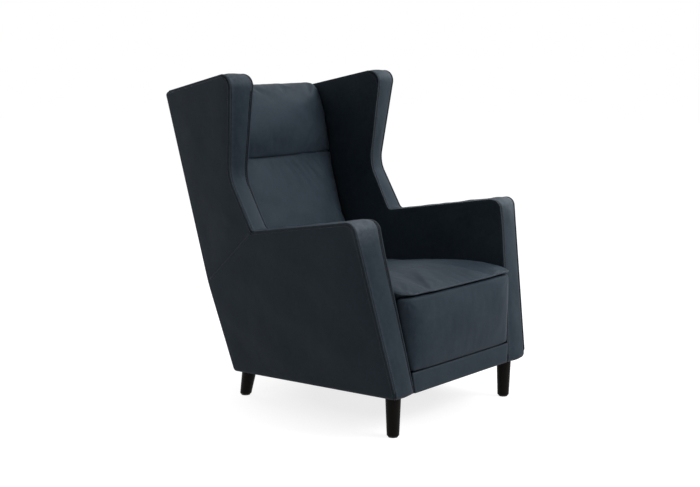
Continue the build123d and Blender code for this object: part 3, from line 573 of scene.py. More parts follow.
def seatCushion():
    # rings from the middle of the underside out to the edge, up the wall and over a rolled edge to the crowned top
    # also gives the edge line that carries the welt
    s = seatSettings
    halfFront, halfRear = (deckHalf(v, 300.0, s["sideGap"]) for v in (s["front"], s["rear"]))
    path = roundedPath([(-halfFront, s["front"]), (halfFront, s["front"]), (halfRear, s["rear"]),
                        (-halfRear, s["rear"])], s["corners"], 6)
    roll = s["sideRoll"] + (s["frontRoll"] - s["sideRoll"]) * smooth(-path[:, 1], *s["rollFade"])
    centre = np.array([0, s["centre"]])
    rings, drop = panelRings(path, roll, s["wall"], centre, 8)[:2]
    shares = np.arange(1, 40) / 40
    below = path + (centre - path) * shares[::-1, None, None]
    flat = np.concatenate([below, rings])
    drop = np.concatenate([np.full(below.shape[:2], 999.0), drop])
    x, v = flat[..., 0], flat[..., 1]
    share = x / (halfFront + (halfRear - halfFront) * (v - s["front"]) / (s["rear"] - s["front"]))
    v = v - frontBulge(x, v)
    under = seatUnder(x, v)
    wallFoot = len(shares) + 1
    w = seatTop(x, v) - drop
    w[:wallFoot] = under[:wallFoot]
    w = np.maximum(w, under)
    pulled = s["pullIn"] * smooth(-v, *s["pullFade"])  # drawn in at the front, most at the slacker end
    pulled = pulled * (1 - s["pullLess"] * smooth(x, *s["slackFade"]))
    points = deckPlace(share * (deckHalf(v, w, s["sideGap"]) - pulled), v, w)
    near = v[wallFoot] < s["weltEnd"]
    start = np.flatnonzero(near & ~np.roll(near, 1))[0]
    return closeRings(points), np.roll(points[wallFoot], -start, 0)[:near.sum()]


def seatHeld(points):  # the underside, the walls and the part under the back don't move
    s = seatSettings
    x, v, w = deckCoords(points)
    edge = deckHalf(v, w, s["sideGap"]) - np.abs(x)
    return (seatTop(x, v) - w > s["heldDepth"]) | (edge < s["heldEdge"]) | (v > s["heldRear"])


def seatFinish(points, normals):
    # kept clear of the arms, then soft hollows where a sitter's weight has settled, and fine creases across the front
    s = seatSettings
    x, v, w = deckCoords(points)
    half = deckHalf(v, w, s["sideGap"] - 1)
    x = np.clip(x, -half, half)
    points = deckPlace(x, v, w)
    hollow = bell(np.hypot(x / s["satSize"][0], (v - s["satAt"]) / s["satSize"][1]), 1)
    sat = -s["sat"] * hollow + ripples(points, s["ripples"])
    creases = ripples(points * [1.6, 0.8, 1], [s["creases"]]) + ripples(points, [s["fineCreases"]])
    return points + normals * (smooth(normals[:, 2], 0.3, 0.8) * (sat + creases))[:, None]


footrestSettings = {"front": 6, "thickness": 34, "bottom": 66.2, "top": 290.5, "topRise": 1, "sideGap": 3.6,
                    "topRoll": 6.5, "bottomRoll": 4, "corners": [6, 6, 12, 12],
                    "bulgeAt": [60, 120, 200, 260, 296], "bulge": [5, 13, 18, 15, 11],
                    "sideAt": [60, 180, 296], "sideInset": [12, 30, 46], "sideDepth": [9, 20, 28], "slackEnd": 0.45,
                    "riseFade": (200, 280), "rollFade": (150, 250), "slackFade": (-60, 60), "fullness": (4, 8),
                    "heldDepth": 20, "heldTop": 7, "heldBottom": 6, "heldEdge": 3,
                    "ripples": [(130, 0.7, 111), (45, 0.25, 113)],
                    "puckerAt": (262, 6), "puckerWidth": 42, "puckerFolds": 9, "puckerHeight": 0.9, "edgeFade": (4, 24),
                    "voxel": 5, "pressure": 4, "slack": 0.001, "cap": 12}


def footrestPad():
    # a padded panel that swells to the middle, with sides that round off wider towards the top
    s = footrestSettings
    low, high = (deckHalf(s["front"], w, s["sideGap"]) for w in (s["bottom"], s["top"]))
    path = roundedPath([(-low, s["bottom"]), (low, s["bottom"]), (high, s["top"]), (-high, s["top"])], s["corners"], 5)
    path[:, 1] += s["topRise"] * (path[:, 0] / high) ** 2 * smooth(path[:, 1], *s["riseFade"])
    roll = s["bottomRoll"] + (s["topRoll"] - s["bottomRoll"]) * smooth(path[:, 1], *s["rollFade"])
    middle, rear = (s["bottom"] + s["top"]) / 2, s["front"] + s["thickness"]
    rings, drop = panelRings(path, roll, s["thickness"], (0, middle), 6)[:2]
    x, w = rings[..., 0], rings[..., 1]
    half = low + (high - low) * (w - s["bottom"]) / (s["top"] - s["bottom"])
    wide, depth = (curveThrough(w, s["sideAt"], s[key]) for key in ("sideInset", "sideDepth"))
    tight = 1 - s["slackEnd"] * smooth(x, *s["slackFade"])  # the sitter's right end is slacker than the left
    fromSide = np.clip(1 - (half - np.abs(x)) / (wide * tight), 0, 0.985)
    rounded = depth * tight * (1 - np.sqrt(1 - fromSide ** 2))
    full = 1 - np.clip(np.abs(x / half), 0, 1) ** np.where(x < 0, *s["fullness"])
    v = s["front"] + drop + rounded - curveThrough(w, s["bulgeAt"], s["bulge"]) * full
    v = np.minimum(v, rear - 0.2)
    v[0] = rear
    return closeRings(deckPlace(x, v, w), back=deckPlace(0.0, rear, middle))


def footrestHeld(points):  # the rear and the four edges don't move
    s = footrestSettings
    x, v, w = deckCoords(points)
    edge = deckHalf(v, w, s["sideGap"]) - np.abs(x)
    return ((v > s["front"] + s["heldDepth"]) | (w > s["top"] - s["heldTop"]) | (w < s["bottom"] + s["heldBottom"])
            | (edge < s["heldEdge"]))


def footrestFinish(points, normals):
    # a slack panel: broad waves, and puckers that run in from both upper corners
    s = footrestSettings
    x, v, w = deckCoords(points)
    half = deckHalf(v, w, s["sideGap"] - 0.6)
    x = np.clip(x, -half, half)
    points = deckPlace(x, v, w)
    ahead = smooth(-normals[:, 1], 0.2, 0.6)
    ahead = ahead * smooth(s["top"] - w, *s["edgeFade"]) * smooth(w - s["bottom"], *s["edgeFade"])
    cornerX, cornerW = np.abs(x) - s["puckerAt"][0], w - (s["top"] - s["puckerAt"][1])
    folds = np.sin(np.arctan2(cornerW, cornerX) * s["puckerFolds"] + np.sign(x))
    pucker = bell(np.hypot(cornerX, cornerW), s["puckerWidth"]) * folds * s["puckerHeight"]
    return points + normals * (ahead * (ripples(points, s["ripples"]) + pucker))[:, None]


baseSettings = {"low": 0.5, "high": 65.0, "middle": 31, "front": 6.3, "thickness": 11.5, "sideGap": 0.8, "roll": 3.0,
                "corner": 5, "puff": 2.2, "puffReach": 10, "ripples": [(120, 0.5, 95)], "rippleFade": (3, 20)}


def baseBand():
    # a narrow padded panel across the front, between the arms
    s = baseSettings
    foot, head = (deckHalf(6.0, w, s["sideGap"]) for w in (s["low"], s["high"]))
    path = roundedPath([(-foot, s["low"]), (foot, s["low"]), (head, s["high"]), (-head, s["high"])],
                       [s["corner"]] * 4, 8)
    rings, drop, inset = panelRings(path, s["roll"], s["thickness"], (0, s["middle"]), 6)
    x, w = rings[..., 0], rings[..., 1]
    deep = softDistance(rings, path)
    wave = ripples(np.stack([x, w, 0 * x], -1), s["ripples"]) * smooth(deep, *s["rippleFade"])
    v = s["front"] + drop - s["puff"] * swell(deep, drop, s["puffReach"]) - wave
    # painted shade: the second mark darkens the colour towards the band's edges
    marks = {"wear": 0.25 * bell(inset - 4, 4), "tuck": np.exp(-inset / 2)}
    return closeRings(deckPlace(x, v, w), marks, deckPlace(0.0, s["front"] + s["thickness"], s["middle"]))


footrestLiningSettings = {"rear": 56.4, "low": 70, "high": 227, "sideGap": 6, "at": 48.0, "thickness": 17}
apron = {"half": 230, "front": 95.5, "low": 96, "high": 150, "thickness": 4,
         "sideX": 236.2, "sideFront": 97, "sideRear": 330, "sideThickness": 2}
railSettings = {"top": 54.8, "front": 17.0, "rear": 46.9, "foot": 6, "cloth": 0.7, "sideGap": 1, "at": 30.0}
boardSettings = {"half": 300, "low": 560, "high": 938, "flare": 4, "face": 21.2, "cloth": 0.9}


def footrestLining():
    # cloth wrapped over the footrest's board: a flat panel with rolled edges that faces rearward
    s = footrestLiningSettings
    low, high = (deckHalf(s["at"], w, s["sideGap"]) for w in (s["low"], s["high"]))
    return thinPanel([(-low, s["low"]), (low, s["low"]), (high, s["high"]), (-high, s["high"])], 6, 3, s["thickness"],
                     (8, 9), lambda a, b, drop: deckPlace(a, s["rear"] - drop, b))


def seatApron():
    # shallow padded leather strips over the front rail of the seat's frame and along the front of its sides
    s = apron
    half, low, high, front, rear = s["half"], s["low"], s["high"], s["sideFront"], s["sideRear"]
    ahead = thinPanel([(-half, low), (half, low), (half, high), (-half, high)], 6, 3, s["thickness"], (8, 6),
                      lambda a, b, drop: deckPlace(a, s["front"] + drop, b), True)
    beside = thinPanel([(front, low), (rear, low), (rear, high), (front, high)], 5, 2, s["sideThickness"], (8, 6),
                       lambda a, b, drop: deckPlace(s["sideX"] - drop, a, b), True)
    return joinParts([ahead, beside, mirrored(beside)])


def railLining():
    # cloth over the top of the front rail and down behind it: a thin profile carried across the chair
    s = railSettings
    top, front, rear, foot, cloth = s["top"], s["front"], s["rear"], s["foot"], s["cloth"]
    v = np.array([front, front, rear - 3, rear - 0.9, rear, rear, rear - cloth, rear - cloth])
    w = np.array([top - cloth, top, top, top - 0.9, top - 3, foot, foot, top - cloth])
    half = deckHalf(s["at"], top, s["sideGap"])
    across = np.linspace(-half, half, 40)[:, None]
    return closeRings(deckPlace(across + 0 * v, v + 0 * across, w + 0 * across))


def boardLining():
    # cloth on the inside of the outer back, behind the reclining back
    s = boardSettings
    low, high = s["half"], s["half"] + s["flare"]
    return thinPanel([(-low, s["low"]), (low, s["low"]), (high, s["high"]), (-high, s["high"])], 5, 1, s["cloth"],
                     (9, 12), lambda a, b, drop: rearPlace(a, drop - s["face"], b))


# The two cushions of the back: d rearward and h up from the pivot. A wrinkle runs from x, h to x, h with a depth.
backSeam = {"h": 434, "sag": 6, "half": 290}  # the seam under the head cushion, and how far it hangs in the middle
lumbarSettings = {"low": -2, "high": 435, "sideRoll": 24, "topRoll": 6, "bottomRoll": 12, "corner": 12, "foot": 18,
                  "at": [-2, 94, 234, 374, 434], "edge": [27, 31, 20, 11, 9], "crown": [22, 29, 29, 24, 19],
                  "voxel": 6, "pressure": 4, "slack": 0.012, "cap": 22,
                  "wrinkles": [(-92, 404, -134, 262, 1.0), (-55, 410, -66, 250, 1.5), (-12, 408, 8, 262, 1.2),
                               (24, 412, 92, 262, 2.4), (66, 408, 136, 256, 2.2), (118, 416, 204, 276, 2.0),
                               (176, 414, 236, 310, 1.4)]}
headSettings = {"low": 431, "high": 693, "sideRoll": 26, "topRoll": 30, "bottomRoll": 7, "corner": 40, "foot": 12,
                "at": [430, 470, 570, 654, 695], "edge": [8, 16, 28, 25, 19], "crown": [20, 29, 31, 24, 18],
                "voxel": 6, "pressure": 4, "slack": 0.012, "cap": 22, "wrinkles": []}
backSettings = {"sideGap": 4.5, "depth": 60, "rear": 9.3, "seamRoll": 9, "heldFront": -3, "heldSeam": 6, "heldEdge": 3,
                "heldFoot": 50, "ripples": [(160, 1.0, 121), (50, 0.35, 123)], "pucker": (20, 0.3, 127),
                "puckerReach": 16, "ridge": (0.8, 17, 11), "valley": (1.25, 7)}


def backPad(s):
    # a padded panel with a crowned front that fills out to its middle, its upper or lower edge hung along the seam
    gap, rear = backSettings["sideGap"], backSettings["rear"]
    low, high = (backHalf(-15.0, h, gap) for h in (s["low"], s["high"]))
    path = roundedPath([(-low, s["low"]), (low, s["low"]), (high, s["high"]), (-high, s["high"])],
                       [s["foot"], s["foot"], s["corner"], s["corner"]], 8)
    onTop, onFoot = path[:, 1] > s["high"] - 1, path[:, 1] < s["low"] + 1
    roll = np.where(onTop, s["topRoll"], np.where(onFoot, s["bottomRoll"], s["sideRoll"])).astype(float)
    roll = np.minimum(roll, backSettings["seamRoll"] + 15 * smooth(np.abs(path[:, 1] - 433), 10, 60))
    middle = (s["low"] + s["high"]) / 2
    rings, drop = panelRings(path, evened(roll, 3), backSettings["depth"], (0, middle), 8)[:2]
    x, h = rings[..., 0], rings[..., 1]
    share = np.clip(np.abs(x) / (low + (high - low) * (h - s["low"]) / (s["high"] - s["low"])), 0, 1)
    front = curveThrough(h, s["at"], s["edge"]) + curveThrough(h, s["at"], s["crown"]) * (1 - share ** 2.4)
    d = np.minimum(drop - front, rear - 0.1)
    d[0] = rear
    x = np.sign(x) * np.minimum(np.abs(x), backHalf(d, h, gap))
    h = h - backSeam["sag"] * (1 - share ** 2) * smooth(-np.abs(h - backSeam["h"]), -120, 0)
    return closeRings(backPlace(x, d, h), back=backPlace(0.0, rear, middle))


def seamDistance(x, h):  # how far a place of the back lies above or below the hanging seam
    return np.abs(h + backSeam["sag"] * (1 - (x / backSeam["half"]) ** 2) - backSeam["h"])


def backHeld(points):  # the rear, the seam, both sides and the foot don't move
    s = backSettings
    x, d, h = backCoords(points)
    edge = backHalf(d, h, s["sideGap"]) - np.abs(x)
    return (d > s["heldFront"]) | (seamDistance(x, h) < s["heldSeam"]) | (edge < s["heldEdge"]) | (h < s["heldFoot"])


def backFinish(points, normals, wrinkles):
    # kept between the wings; a valley and a ridge along each drawn wrinkle, puckers down the seam, and slow waves
    x, d, h = backCoords(points)
    half = backHalf(d, h, backSettings["sideGap"] - 0.9)
    points = backPlace(np.clip(x, -half, half), d, h)
    lift = ripples(points, backSettings["ripples"])
    (ridge, beside, ridgeWidth), (valley, width) = backSettings["ridge"], backSettings["valley"]
    for x0, h0, x1, h1, deep in wrinkles:
        along = np.array([x1 - x0, h1 - h0])
        length = np.linalg.norm(along)
        t = ((x - x0) * along[0] + (h - h0) * along[1]) / length ** 2
        off = ((x - x0) * along[1] - (h - h0) * along[0]) / length
        fade = smooth(t, -0.08, 0.12) * smooth(1.15 - t, 0, 0.75)
        hollow = valley * bell(off, width * (1 + np.clip(t, 0, 1)))
        lift += deep * fade * (ridge * bell(off - beside, ridgeWidth) - hollow)
    seam = seamDistance(x, h)
    pucker = ripples(points * [1, 0.1, 0.1], [backSettings["pucker"]])
    lift += np.exp(-seam / backSettings["puckerReach"]) * smooth(seam, 2, 6) * pucker
    return points + normals * (smooth(-normals[:, 1], 0.25, 0.7) * lift * smooth(seam, 0, 12))[:, None]


legs = {"topRadius": 24, "footRadius": 19, "foot": 4, "edge": 2.5, "sides": 64, "intoBase": 6,
        "front": (292.2, -440.1, 127.5, 0.0), "rear": (263.6, 202.1, 83.8, 13.0)}  # x, y and z of the top, then splay


def turnedLeg(end):
    # a round tapered profile turned about an axis that leans with the splay, level circles all the way
    x0, y0, z0, splay = legs[end]
    foot, edge = legs["foot"], legs["edge"]
    z = np.concatenate([[foot], foot + edge * (1 - np.cos(np.radians([30, 60, 90]))),
                        np.linspace(foot + 6, z0 + legs["intoBase"], 24)])
    radius = legs["footRadius"] + (legs["topRadius"] - legs["footRadius"]) * (z - foot) / (z0 - foot)
    radius[:4] -= edge * (1 - np.sin(np.radians([0, 30, 60, 90])))
    centre = y0 + (z0 - z) * np.tan(np.radians(splay))
    angle = np.arange(legs["sides"]) / legs["sides"] * 2 * np.pi
    return closeRings(np.stack([x0 + radius[:, None] * np.cos(angle), centre[:, None] + radius[:, None] * np.sin(angle),
                                z[:, None] + 0 * angle], -1))


def linear(hexColour):  # sRGB hex to linear colour
    srgb = np.array([int(hexColour[i:i + 2], 16) for i in (1, 3, 5)]) / 255
    low, high = srgb / 12.92, ((srgb + 0.055) / 1.055) ** 2.4
    return (*np.where(srgb <= 0.04045, low, high), 1.0)


def setInputs(tree, node, inputs):  # values and links by socket name, or by the letter i and the socket's number
    for key, value in inputs.items():
        numbered = key[0] == "i" and key[1:].isdigit()
        socket = node.inputs[int(key[1:]) if numbered else key.replace("_", " ")]
        if isinstance(value, bpy.types.NodeSocket):
            tree.links.new(value, socket)
        else:
            socket.default_value = value


def addNode(tree, kind, settings=None, stops=(), **inputs):  # one node with its settings, colour stops and inputs
    node = tree.nodes.new(kind)
    for key, value in (settings or {}).items():
        setattr(node, key, value)
    while stops and len(node.color_ramp.elements) < len(stops):
        node.color_ramp.elements.new(0.5)
    for k, (at, colour) in enumerate(stops):
        node.color_ramp.elements[k].position = at
        node.color_ramp.elements[k].color = linear(colour)
    setInputs(tree, node, inputs)
    return node


def newMaterial(name):
    material = bpy.data.materials.new(name)
    material.use_nodes = True
    tree = material.node_tree
    return material, tree, tree.nodes["Principled BSDF"], addNode(tree, "ShaderNodeTexCoord").outputs["Object"]


def semiAnilineLeather(name, dark, light, rubbedAndHighlit, grooveShadeColour):
    # navy semi-aniline leather: soft mottling, fine pebble grain, paler on rubbed edges and where a highlight is
    # painted, and painted shade darkening the seams and grooves
    material, tree, shader, where = newMaterial(name)
    cloud = addNode(tree, "ShaderNodeTexNoise", Vector=where, Scale=1 / (110 * mm), Detail=4.0, Roughness=0.55)
    mottle = addNode(tree, "ShaderNodeTexNoise", Vector=where, Scale=1 / (14 * mm), Detail=5.0, Roughness=0.65)
    blendIn = addNode(tree, "ShaderNodeMix", {"data_type": "FLOAT"}, i0=0.45, i2=cloud.outputs["Fac"],
                      i3=mottle.outputs["Fac"])
    tone = addNode(tree, "ShaderNodeValToRGB", stops=[(0.33, dark), (0.67, light)], Fac=blendIn.outputs[0])
    # the pale mark is rubbed leather, with a painted highlight on the welts and the rubbed corners
    wear = addNode(tree, "ShaderNodeAttribute", {"attribute_name": "wear"})
    broken = addNode(tree, "ShaderNodeMath", {"operation": "MULTIPLY"}, i0=wear.outputs["Fac"],
                     i1=mottle.outputs["Fac"])
    rubbedAndHighlitTone = addNode(tree, "ShaderNodeMix", {"data_type": "RGBA"}, i0=broken.outputs[0], i6=tone.outputs["Color"],
                   i7=linear(rubbedAndHighlit))
    # painted shade: seams and grooves are mixed towards a near-black colour
    tuck = addNode(tree, "ShaderNodeAttribute", {"attribute_name": "tuck"})
    deep = addNode(tree, "ShaderNodeMath", {"operation": "MULTIPLY"}, i0=tuck.outputs["Fac"], i1=0.8)
    final = addNode(tree, "ShaderNodeMix", {"data_type": "RGBA"}, i0=deep.outputs[0], i6=rubbedAndHighlitTone.outputs[2],
                    i7=linear(grooveShadeColour))
    gloss = addNode(tree, "ShaderNodeMapRange", Value=mottle.outputs["Fac"], From_Min=0.3, From_Max=0.7, To_Min=0.50,
                    To_Max=0.62)
    # real pebbles are about 1 mm across; drawn at 2 mm so that they show
    pebble = addNode(tree, "ShaderNodeTexVoronoi", {"feature": "DISTANCE_TO_EDGE"}, Vector=where, Scale=1 / (2 * mm))
    crease = addNode(tree, "ShaderNodeTexNoise", Vector=where, Scale=1 / (9 * mm), Detail=6.0, Roughness=0.7)
    fine = addNode(tree, "ShaderNodeBump", Strength=0.35, Distance=0.25 * mm, Height=pebble.outputs["Distance"])
    bump = addNode(tree, "ShaderNodeBump", Strength=0.35, Distance=1.2 * mm, Height=crease.outputs["Fac"],
                   Normal=fine.outputs[0])
    setInputs(tree, shader, {"Base Color": final.outputs[2], "Roughness": gloss.outputs[0], "Normal": bump.outputs[0],
                             "IOR": 1.47, "Specular IOR Level": 0.11,
                             "Specular Tint": linear("#d9ecff")})  # the blue finish coat colours its sheen
    return material


def stainedBeech():
    # black-stained beech under satin lacquer: nearly black, with short pale flecks along the leg
    material, tree, shader, where = newMaterial("black_stained_beech")
    along = addNode(tree, "ShaderNodeMapping", Vector=where, Scale=(1.0, 1.0, 0.06))
    grain = addNode(tree, "ShaderNodeTexNoise", Vector=along.outputs[0], Scale=1 / (2.2 * mm), Detail=5.0,
                    Roughness=0.6)
    tone = addNode(tree, "ShaderNodeValToRGB", stops=[(0.35, "#080706"), (0.6, "#100e0c"), (0.78, "#1c1815")],
                   Fac=grain.outputs["Fac"])
    gloss = addNode(tree, "ShaderNodeMapRange", Value=grain.outputs["Fac"], To_Min=0.42, To_Max=0.56)
    bump = addNode(tree, "ShaderNodeBump", Strength=0.25, Distance=0.2 * mm, Height=grain.outputs["Fac"])
    setInputs(tree, shader, {"Base Color": tone.outputs["Color"], "Roughness": gloss.outputs[0],
                             "Normal": bump.outputs[0], "Specular IOR Level": 0.07})
    return material


def sawnWood(name, stops, stretch, width):
    # unfinished wood inside the frame: long grain with darker rings, dry and matt
    material, tree, shader, where = newMaterial(name)
    along = addNode(tree, "ShaderNodeMapping", Vector=where, Scale=stretch)
    grain = addNode(tree, "ShaderNodeTexNoise", Vector=along.outputs[0], Scale=1 / (width * mm), Detail=6.0,
                    Roughness=0.62, Distortion=0.6)
    tone = addNode(tree, "ShaderNodeValToRGB", stops=stops, Fac=grain.outputs["Fac"])
    bump = addNode(tree, "ShaderNodeBump", Strength=0.3, Distance=0.3 * mm, Height=grain.outputs["Fac"])
    setInputs(tree, shader, {"Base Color": tone.outputs["Color"], "Roughness": 0.72, "Normal": bump.outputs[0]})
    return material


def zincSteel():
    # pressed steel, bright zinc plated: grey with a faint spangle and smeared patches
    material, tree, shader, where = newMaterial("zinc_plated_steel_pressed")
    spangle = addNode(tree, "ShaderNodeTexVoronoi", Vector=where, Scale=1 / (9 * mm))
    smear = addNode(tree, "ShaderNodeTexNoise", Vector=where, Scale=1 / (25 * mm), Detail=4.0)
    tone = addNode(tree, "ShaderNodeValToRGB", stops=[(0.35, "#8d9093"), (0.65, "#a9acad")], Fac=smear.outputs["Fac"])
    gloss = addNode(tree, "ShaderNodeMapRange", Value=spangle.outputs["Distance"], To_Min=0.30, To_Max=0.46)
    setInputs(tree, shader, {"Base Color": tone.outputs["Color"], "Roughness": gloss.outputs[0], "Metallic": 1.0})
    return material


def moulded(name, dark, light, roughness):
    # moulded nylon or rubber: even colour with a fine sparked texture
    material, tree, shader, where = newMaterial(name)
    spark = addNode(tree, "ShaderNodeTexNoise", Vector=where, Scale=1 / (1.5 * mm), Detail=3.0)
    tone = addNode(tree, "ShaderNodeValToRGB", stops=[(0.3, dark), (0.7, light)], Fac=spark.outputs["Fac"])
    bump = addNode(tree, "ShaderNodeBump", Strength=0.2, Distance=0.1 * mm, Height=spark.outputs["Fac"])
    setInputs(tree, shader, {"Base Color": tone.outputs["Color"], "Roughness": roughness, "Normal": bump.outputs[0]})
    return material


waveTurn = 6.283  # a wave texture's bands are a full turn apart, so its scale is divided by this


def wovenCloth(name, pitch):
    # black polypropylene weave: tapes of the given pitch in mm, crossing over and under
    material, tree, shader, where = newMaterial(name)
    warp, weft = (addNode(tree, "ShaderNodeTexWave", {"bands_direction": way}, Vector=where,
                          Scale=1 / (pitch * mm) / waveTurn * 2) for way in ("X", "Y"))
    cross = addNode(tree, "ShaderNodeMath", {"operation": "MULTIPLY"}, i0=warp.outputs["Fac"], i1=weft.outputs["Fac"])
    tone = addNode(tree, "ShaderNodeValToRGB", stops=[(0.0, "#0e0e0f"), (1.0, "#2b2b2d")], Fac=cross.outputs[0])
    bump = addNode(tree, "ShaderNodeBump", Strength=0.5, Distance=0.5 * mm, Height=cross.outputs[0])
    setInputs(tree, shader, {"Base Color": tone.outputs["Color"], "Roughness": 0.8, "Normal": bump.outputs[0]})
    return material


def waxedThread():
    # waxed polyester sewing thread, a shade paler than the leather, with its twist
    material, tree, shader, where = newMaterial("waxed_sewing_thread")
    twist = addNode(tree, "ShaderNodeTexWave", {"bands_direction": "DIAGONAL"}, Vector=where,
                    Scale=1 / (1.2 * mm) / waveTurn)
    tone = addNode(tree, "ShaderNodeValToRGB", stops=[(0.0, "#2b323a"), (1.0, "#4a525b")], Fac=twist.outputs["Fac"])
    setInputs(tree, shader, {"Base Color": tone.outputs["Color"], "Roughness": 0.55})
    return material


# the last two colours: pale for rubbed edges and painted highlights, near black for the painted shade in seams and
# grooves
leather = semiAnilineLeather("navy_semi_aniline_leather", "#2b343d", "#37414a", "#666e77", "#0a0d11")
thread = waxedThread()
liningCloth = wovenCloth("black_lining_cloth", 1.4)
finishes = {
    "navy_leather": leather,
    "black_stained_wood": stainedBeech(),
    "timber": sawnWood("sawn_beech", [(0.3, "#a98157"), (0.6, "#c39b6c"), (0.8, "#d3ae80")], (0.12, 1.0, 1.0), 5),
    "plywood": sawnWood("birch_plywood", [(0.3, "#b9955f"), (0.6, "#cfae7c"), (0.8, "#dcc094")], (1.0, 0.1, 0.5), 8),
    "zinc_plated_steel": zincSteel(),
    "nylon": moulded("moulded_nylon", "#141414", "#1d1d1d", 0.45),
    "rubber": moulded("moulded_rubber", "#0e0e0e", "#171717", 0.75),
    "webbing": wovenCloth("black_woven_webbing", 3),
}
slots = {row["node"]: row["material_slot"] for row in frame["record"]["subparts"]}
for node, thing in frame["nodes"].items():
    thing.data.materials.clear()
    thing.data.materials.append(finishes[slots[node]])
print("stage: materials ready")


def settle(thing, body, material, nodes=()):  # gives a piece its finish and its place in the frame
    thing.data.materials.clear()
    thing.data.materials.append(material)
    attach(thing, body)
    if nodes:
        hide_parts(*nodes)


def place(name, part, body, slot, material, nodes=(), fill=None):
    settle(putMesh(name, *part), body, material, nodes)


for side, word in enumerate(("left", "right")):
    welt, stitches = sideTrim()
    for name, part, material, nodes, fill in (
            ("outer_leather", outerCover(side), leather, [f"outer_cover_{word}"], None),
            ("boxing", edgeBand(side), leather, [f"edge_band_{word}"], None),
            ("inner_padding", innerPad(side), leather, [f"inner_pad_{word}"], 0.9),
            ("edge_welt", welt, leather, [], None), ("edge_stitches", stitches, thread, [], None)):
        place(f"{name}_{word}", mirrored(part) if side else part, "shell", "navy_leather", material, nodes, fill)
place("outer_back_leather", outerBack(), "shell", "navy_leather", leather, ["outer_back_cover"])
place("base_band_leather", baseBand(), "shell", "navy_leather", leather, ["base_band"])
front, rear = turnedLeg("front"), turnedLeg("rear")
place("turned_legs", joinParts([front, mirrored(front), rear, mirrored(rear)]), "shell", "black_stained_wood",
      finishes["black_stained_wood"], ["legs"])
place("base_rail_lining", railLining(), "shell", "webbing", liningCloth)
place("outer_back_lining", boardLining(), "shell", "webbing", liningCloth)
place("footrest_lining", footrestLining(), "footrest", "webbing", liningCloth)
place("seat_apron_leather", seatApron(), "seat", "navy_leather", leather)
print("stage: shell dressed")


def valuesOf(rows, key, kind, width):  # one value of each row of a mesh, such as its points, as an array
    flat = np.empty(len(rows) * width, kind)
    rows.foreach_get(key, flat)
    return flat.reshape(-1, width)


def coordsOf(mesh):  # a mesh's points in millimetres
    return valuesOf(mesh.vertices, "co", np.float32, 3).astype(float) * 1000


def normalsOf(mesh):
    return valuesOf(mesh.vertex_normals, "vector", np.float32, 3).astype(float)


def movePoints(mesh, points):
    mesh.vertices.foreach_set("co", (points * mm).astype(np.float32).ravel())
    mesh.update()


def relax(points, edges, rounds):  # each point moves half way to the mean of its neighbours
    count = np.bincount(edges.ravel(), minlength=len(points))[:, None]
    for step in range(rounds):
        total = np.zeros_like(points)
        for k in range(3):
            total[:, k] = (np.bincount(edges[:, 0], points[edges[:, 1], k], len(points))
                           + np.bincount(edges[:, 1], points[edges[:, 0], k], len(points)))
        points = points + 0.5 * (total / count - points)
    return points


filling = {"frames": 20, "quality": 4, "mass": 0.3, "bending": 3, "relaxBefore": 3, "relaxAfter": 4}


def inflate(name, part, s, held, finish):
    # leather filled by foam: the shape is remeshed evenly, held at its seams and frame, blown up as cloth under
    # pressure, stopped at the cap, smoothed, then given its seams and wrinkles, with one subdivision left on it
    draft = putMesh(name + "_draft", *part)
    even = draft.modifiers.new("even", "REMESH")
    even.mode, even.voxel_size = "VOXEL", s["voxel"] * mm
    graph = bpy.context.evaluated_depsgraph_get()
    mesh = bpy.data.meshes.new_from_object(draft.evaluated_get(graph))
    mesh.name = name
    thing = bpy.data.objects.new(name, mesh)
    bpy.context.scene.collection.objects.link(thing)
    bpy.data.objects.remove(draft)
    edges = valuesOf(mesh.edges, "vertices", np.int32, 2)
    fixed = np.flatnonzero(held(coordsOf(mesh)))
    start = relax(coordsOf(mesh), edges, filling["relaxBefore"])
    movePoints(mesh, start)
    moved = start
    group = thing.vertex_groups.new(name="held")
    group.add(fixed.tolist(), 1.0, "REPLACE")
    cloth = thing.modifiers.new("fill", "CLOTH")
    cloth.settings.quality = filling["quality"]
    cloth.settings.mass = filling["mass"]
    cloth.settings.bending_stiffness = filling["bending"]
    cloth.settings.shrink_min = -s["slack"]
    cloth.settings.vertex_group_mass = "held"
    cloth.settings.use_pressure = True
    cloth.settings.uniform_pressure_force = s["pressure"]
    cloth.settings.effector_weights.gravity = 0
    cloth.point_cache.frame_end = filling["frames"]
    for frameNumber in range(1, filling["frames"] + 1):
        bpy.context.scene.frame_set(frameNumber)
    graph = bpy.context.evaluated_depsgraph_get()
    shift = coordsOf(thing.evaluated_get(graph).data) - start
    thing.modifiers.remove(cloth)
    thing.vertex_groups.remove(group)
    bpy.context.scene.frame_set(1)
    far = np.linalg.norm(shift, axis=1, keepdims=True) + 1e-9
    moved = start + shift / far * s["cap"] * np.tanh(far / s["cap"])
    print(name, "moved at most", round(float(far.max()), 1), "mm, mean", round(float(far.mean()), 1), "mm")
    moved = relax(moved, edges, filling["relaxAfter"])
    movePoints(mesh, moved)
    moved = finish(moved, normalsOf(mesh))
    mesh.polygons.foreach_set("use_smooth", np.ones(len(mesh.polygons), bool))
    movePoints(mesh, moved)
    for key in ("wear", "tuck"):
        mesh.attributes.new(key, "FLOAT", "POINT")
    more = thing.modifiers.new("finer", "SUBSURF")
    more.levels = more.render_levels = 1
    return thing, moved


cushion, seatEdge = seatCushion()
seat, seatPoints = inflate("seat_upholstery", cushion, seatSettings, seatHeld, seatFinish)
settle(seat, "seat", leather, ["seat_cushion"])


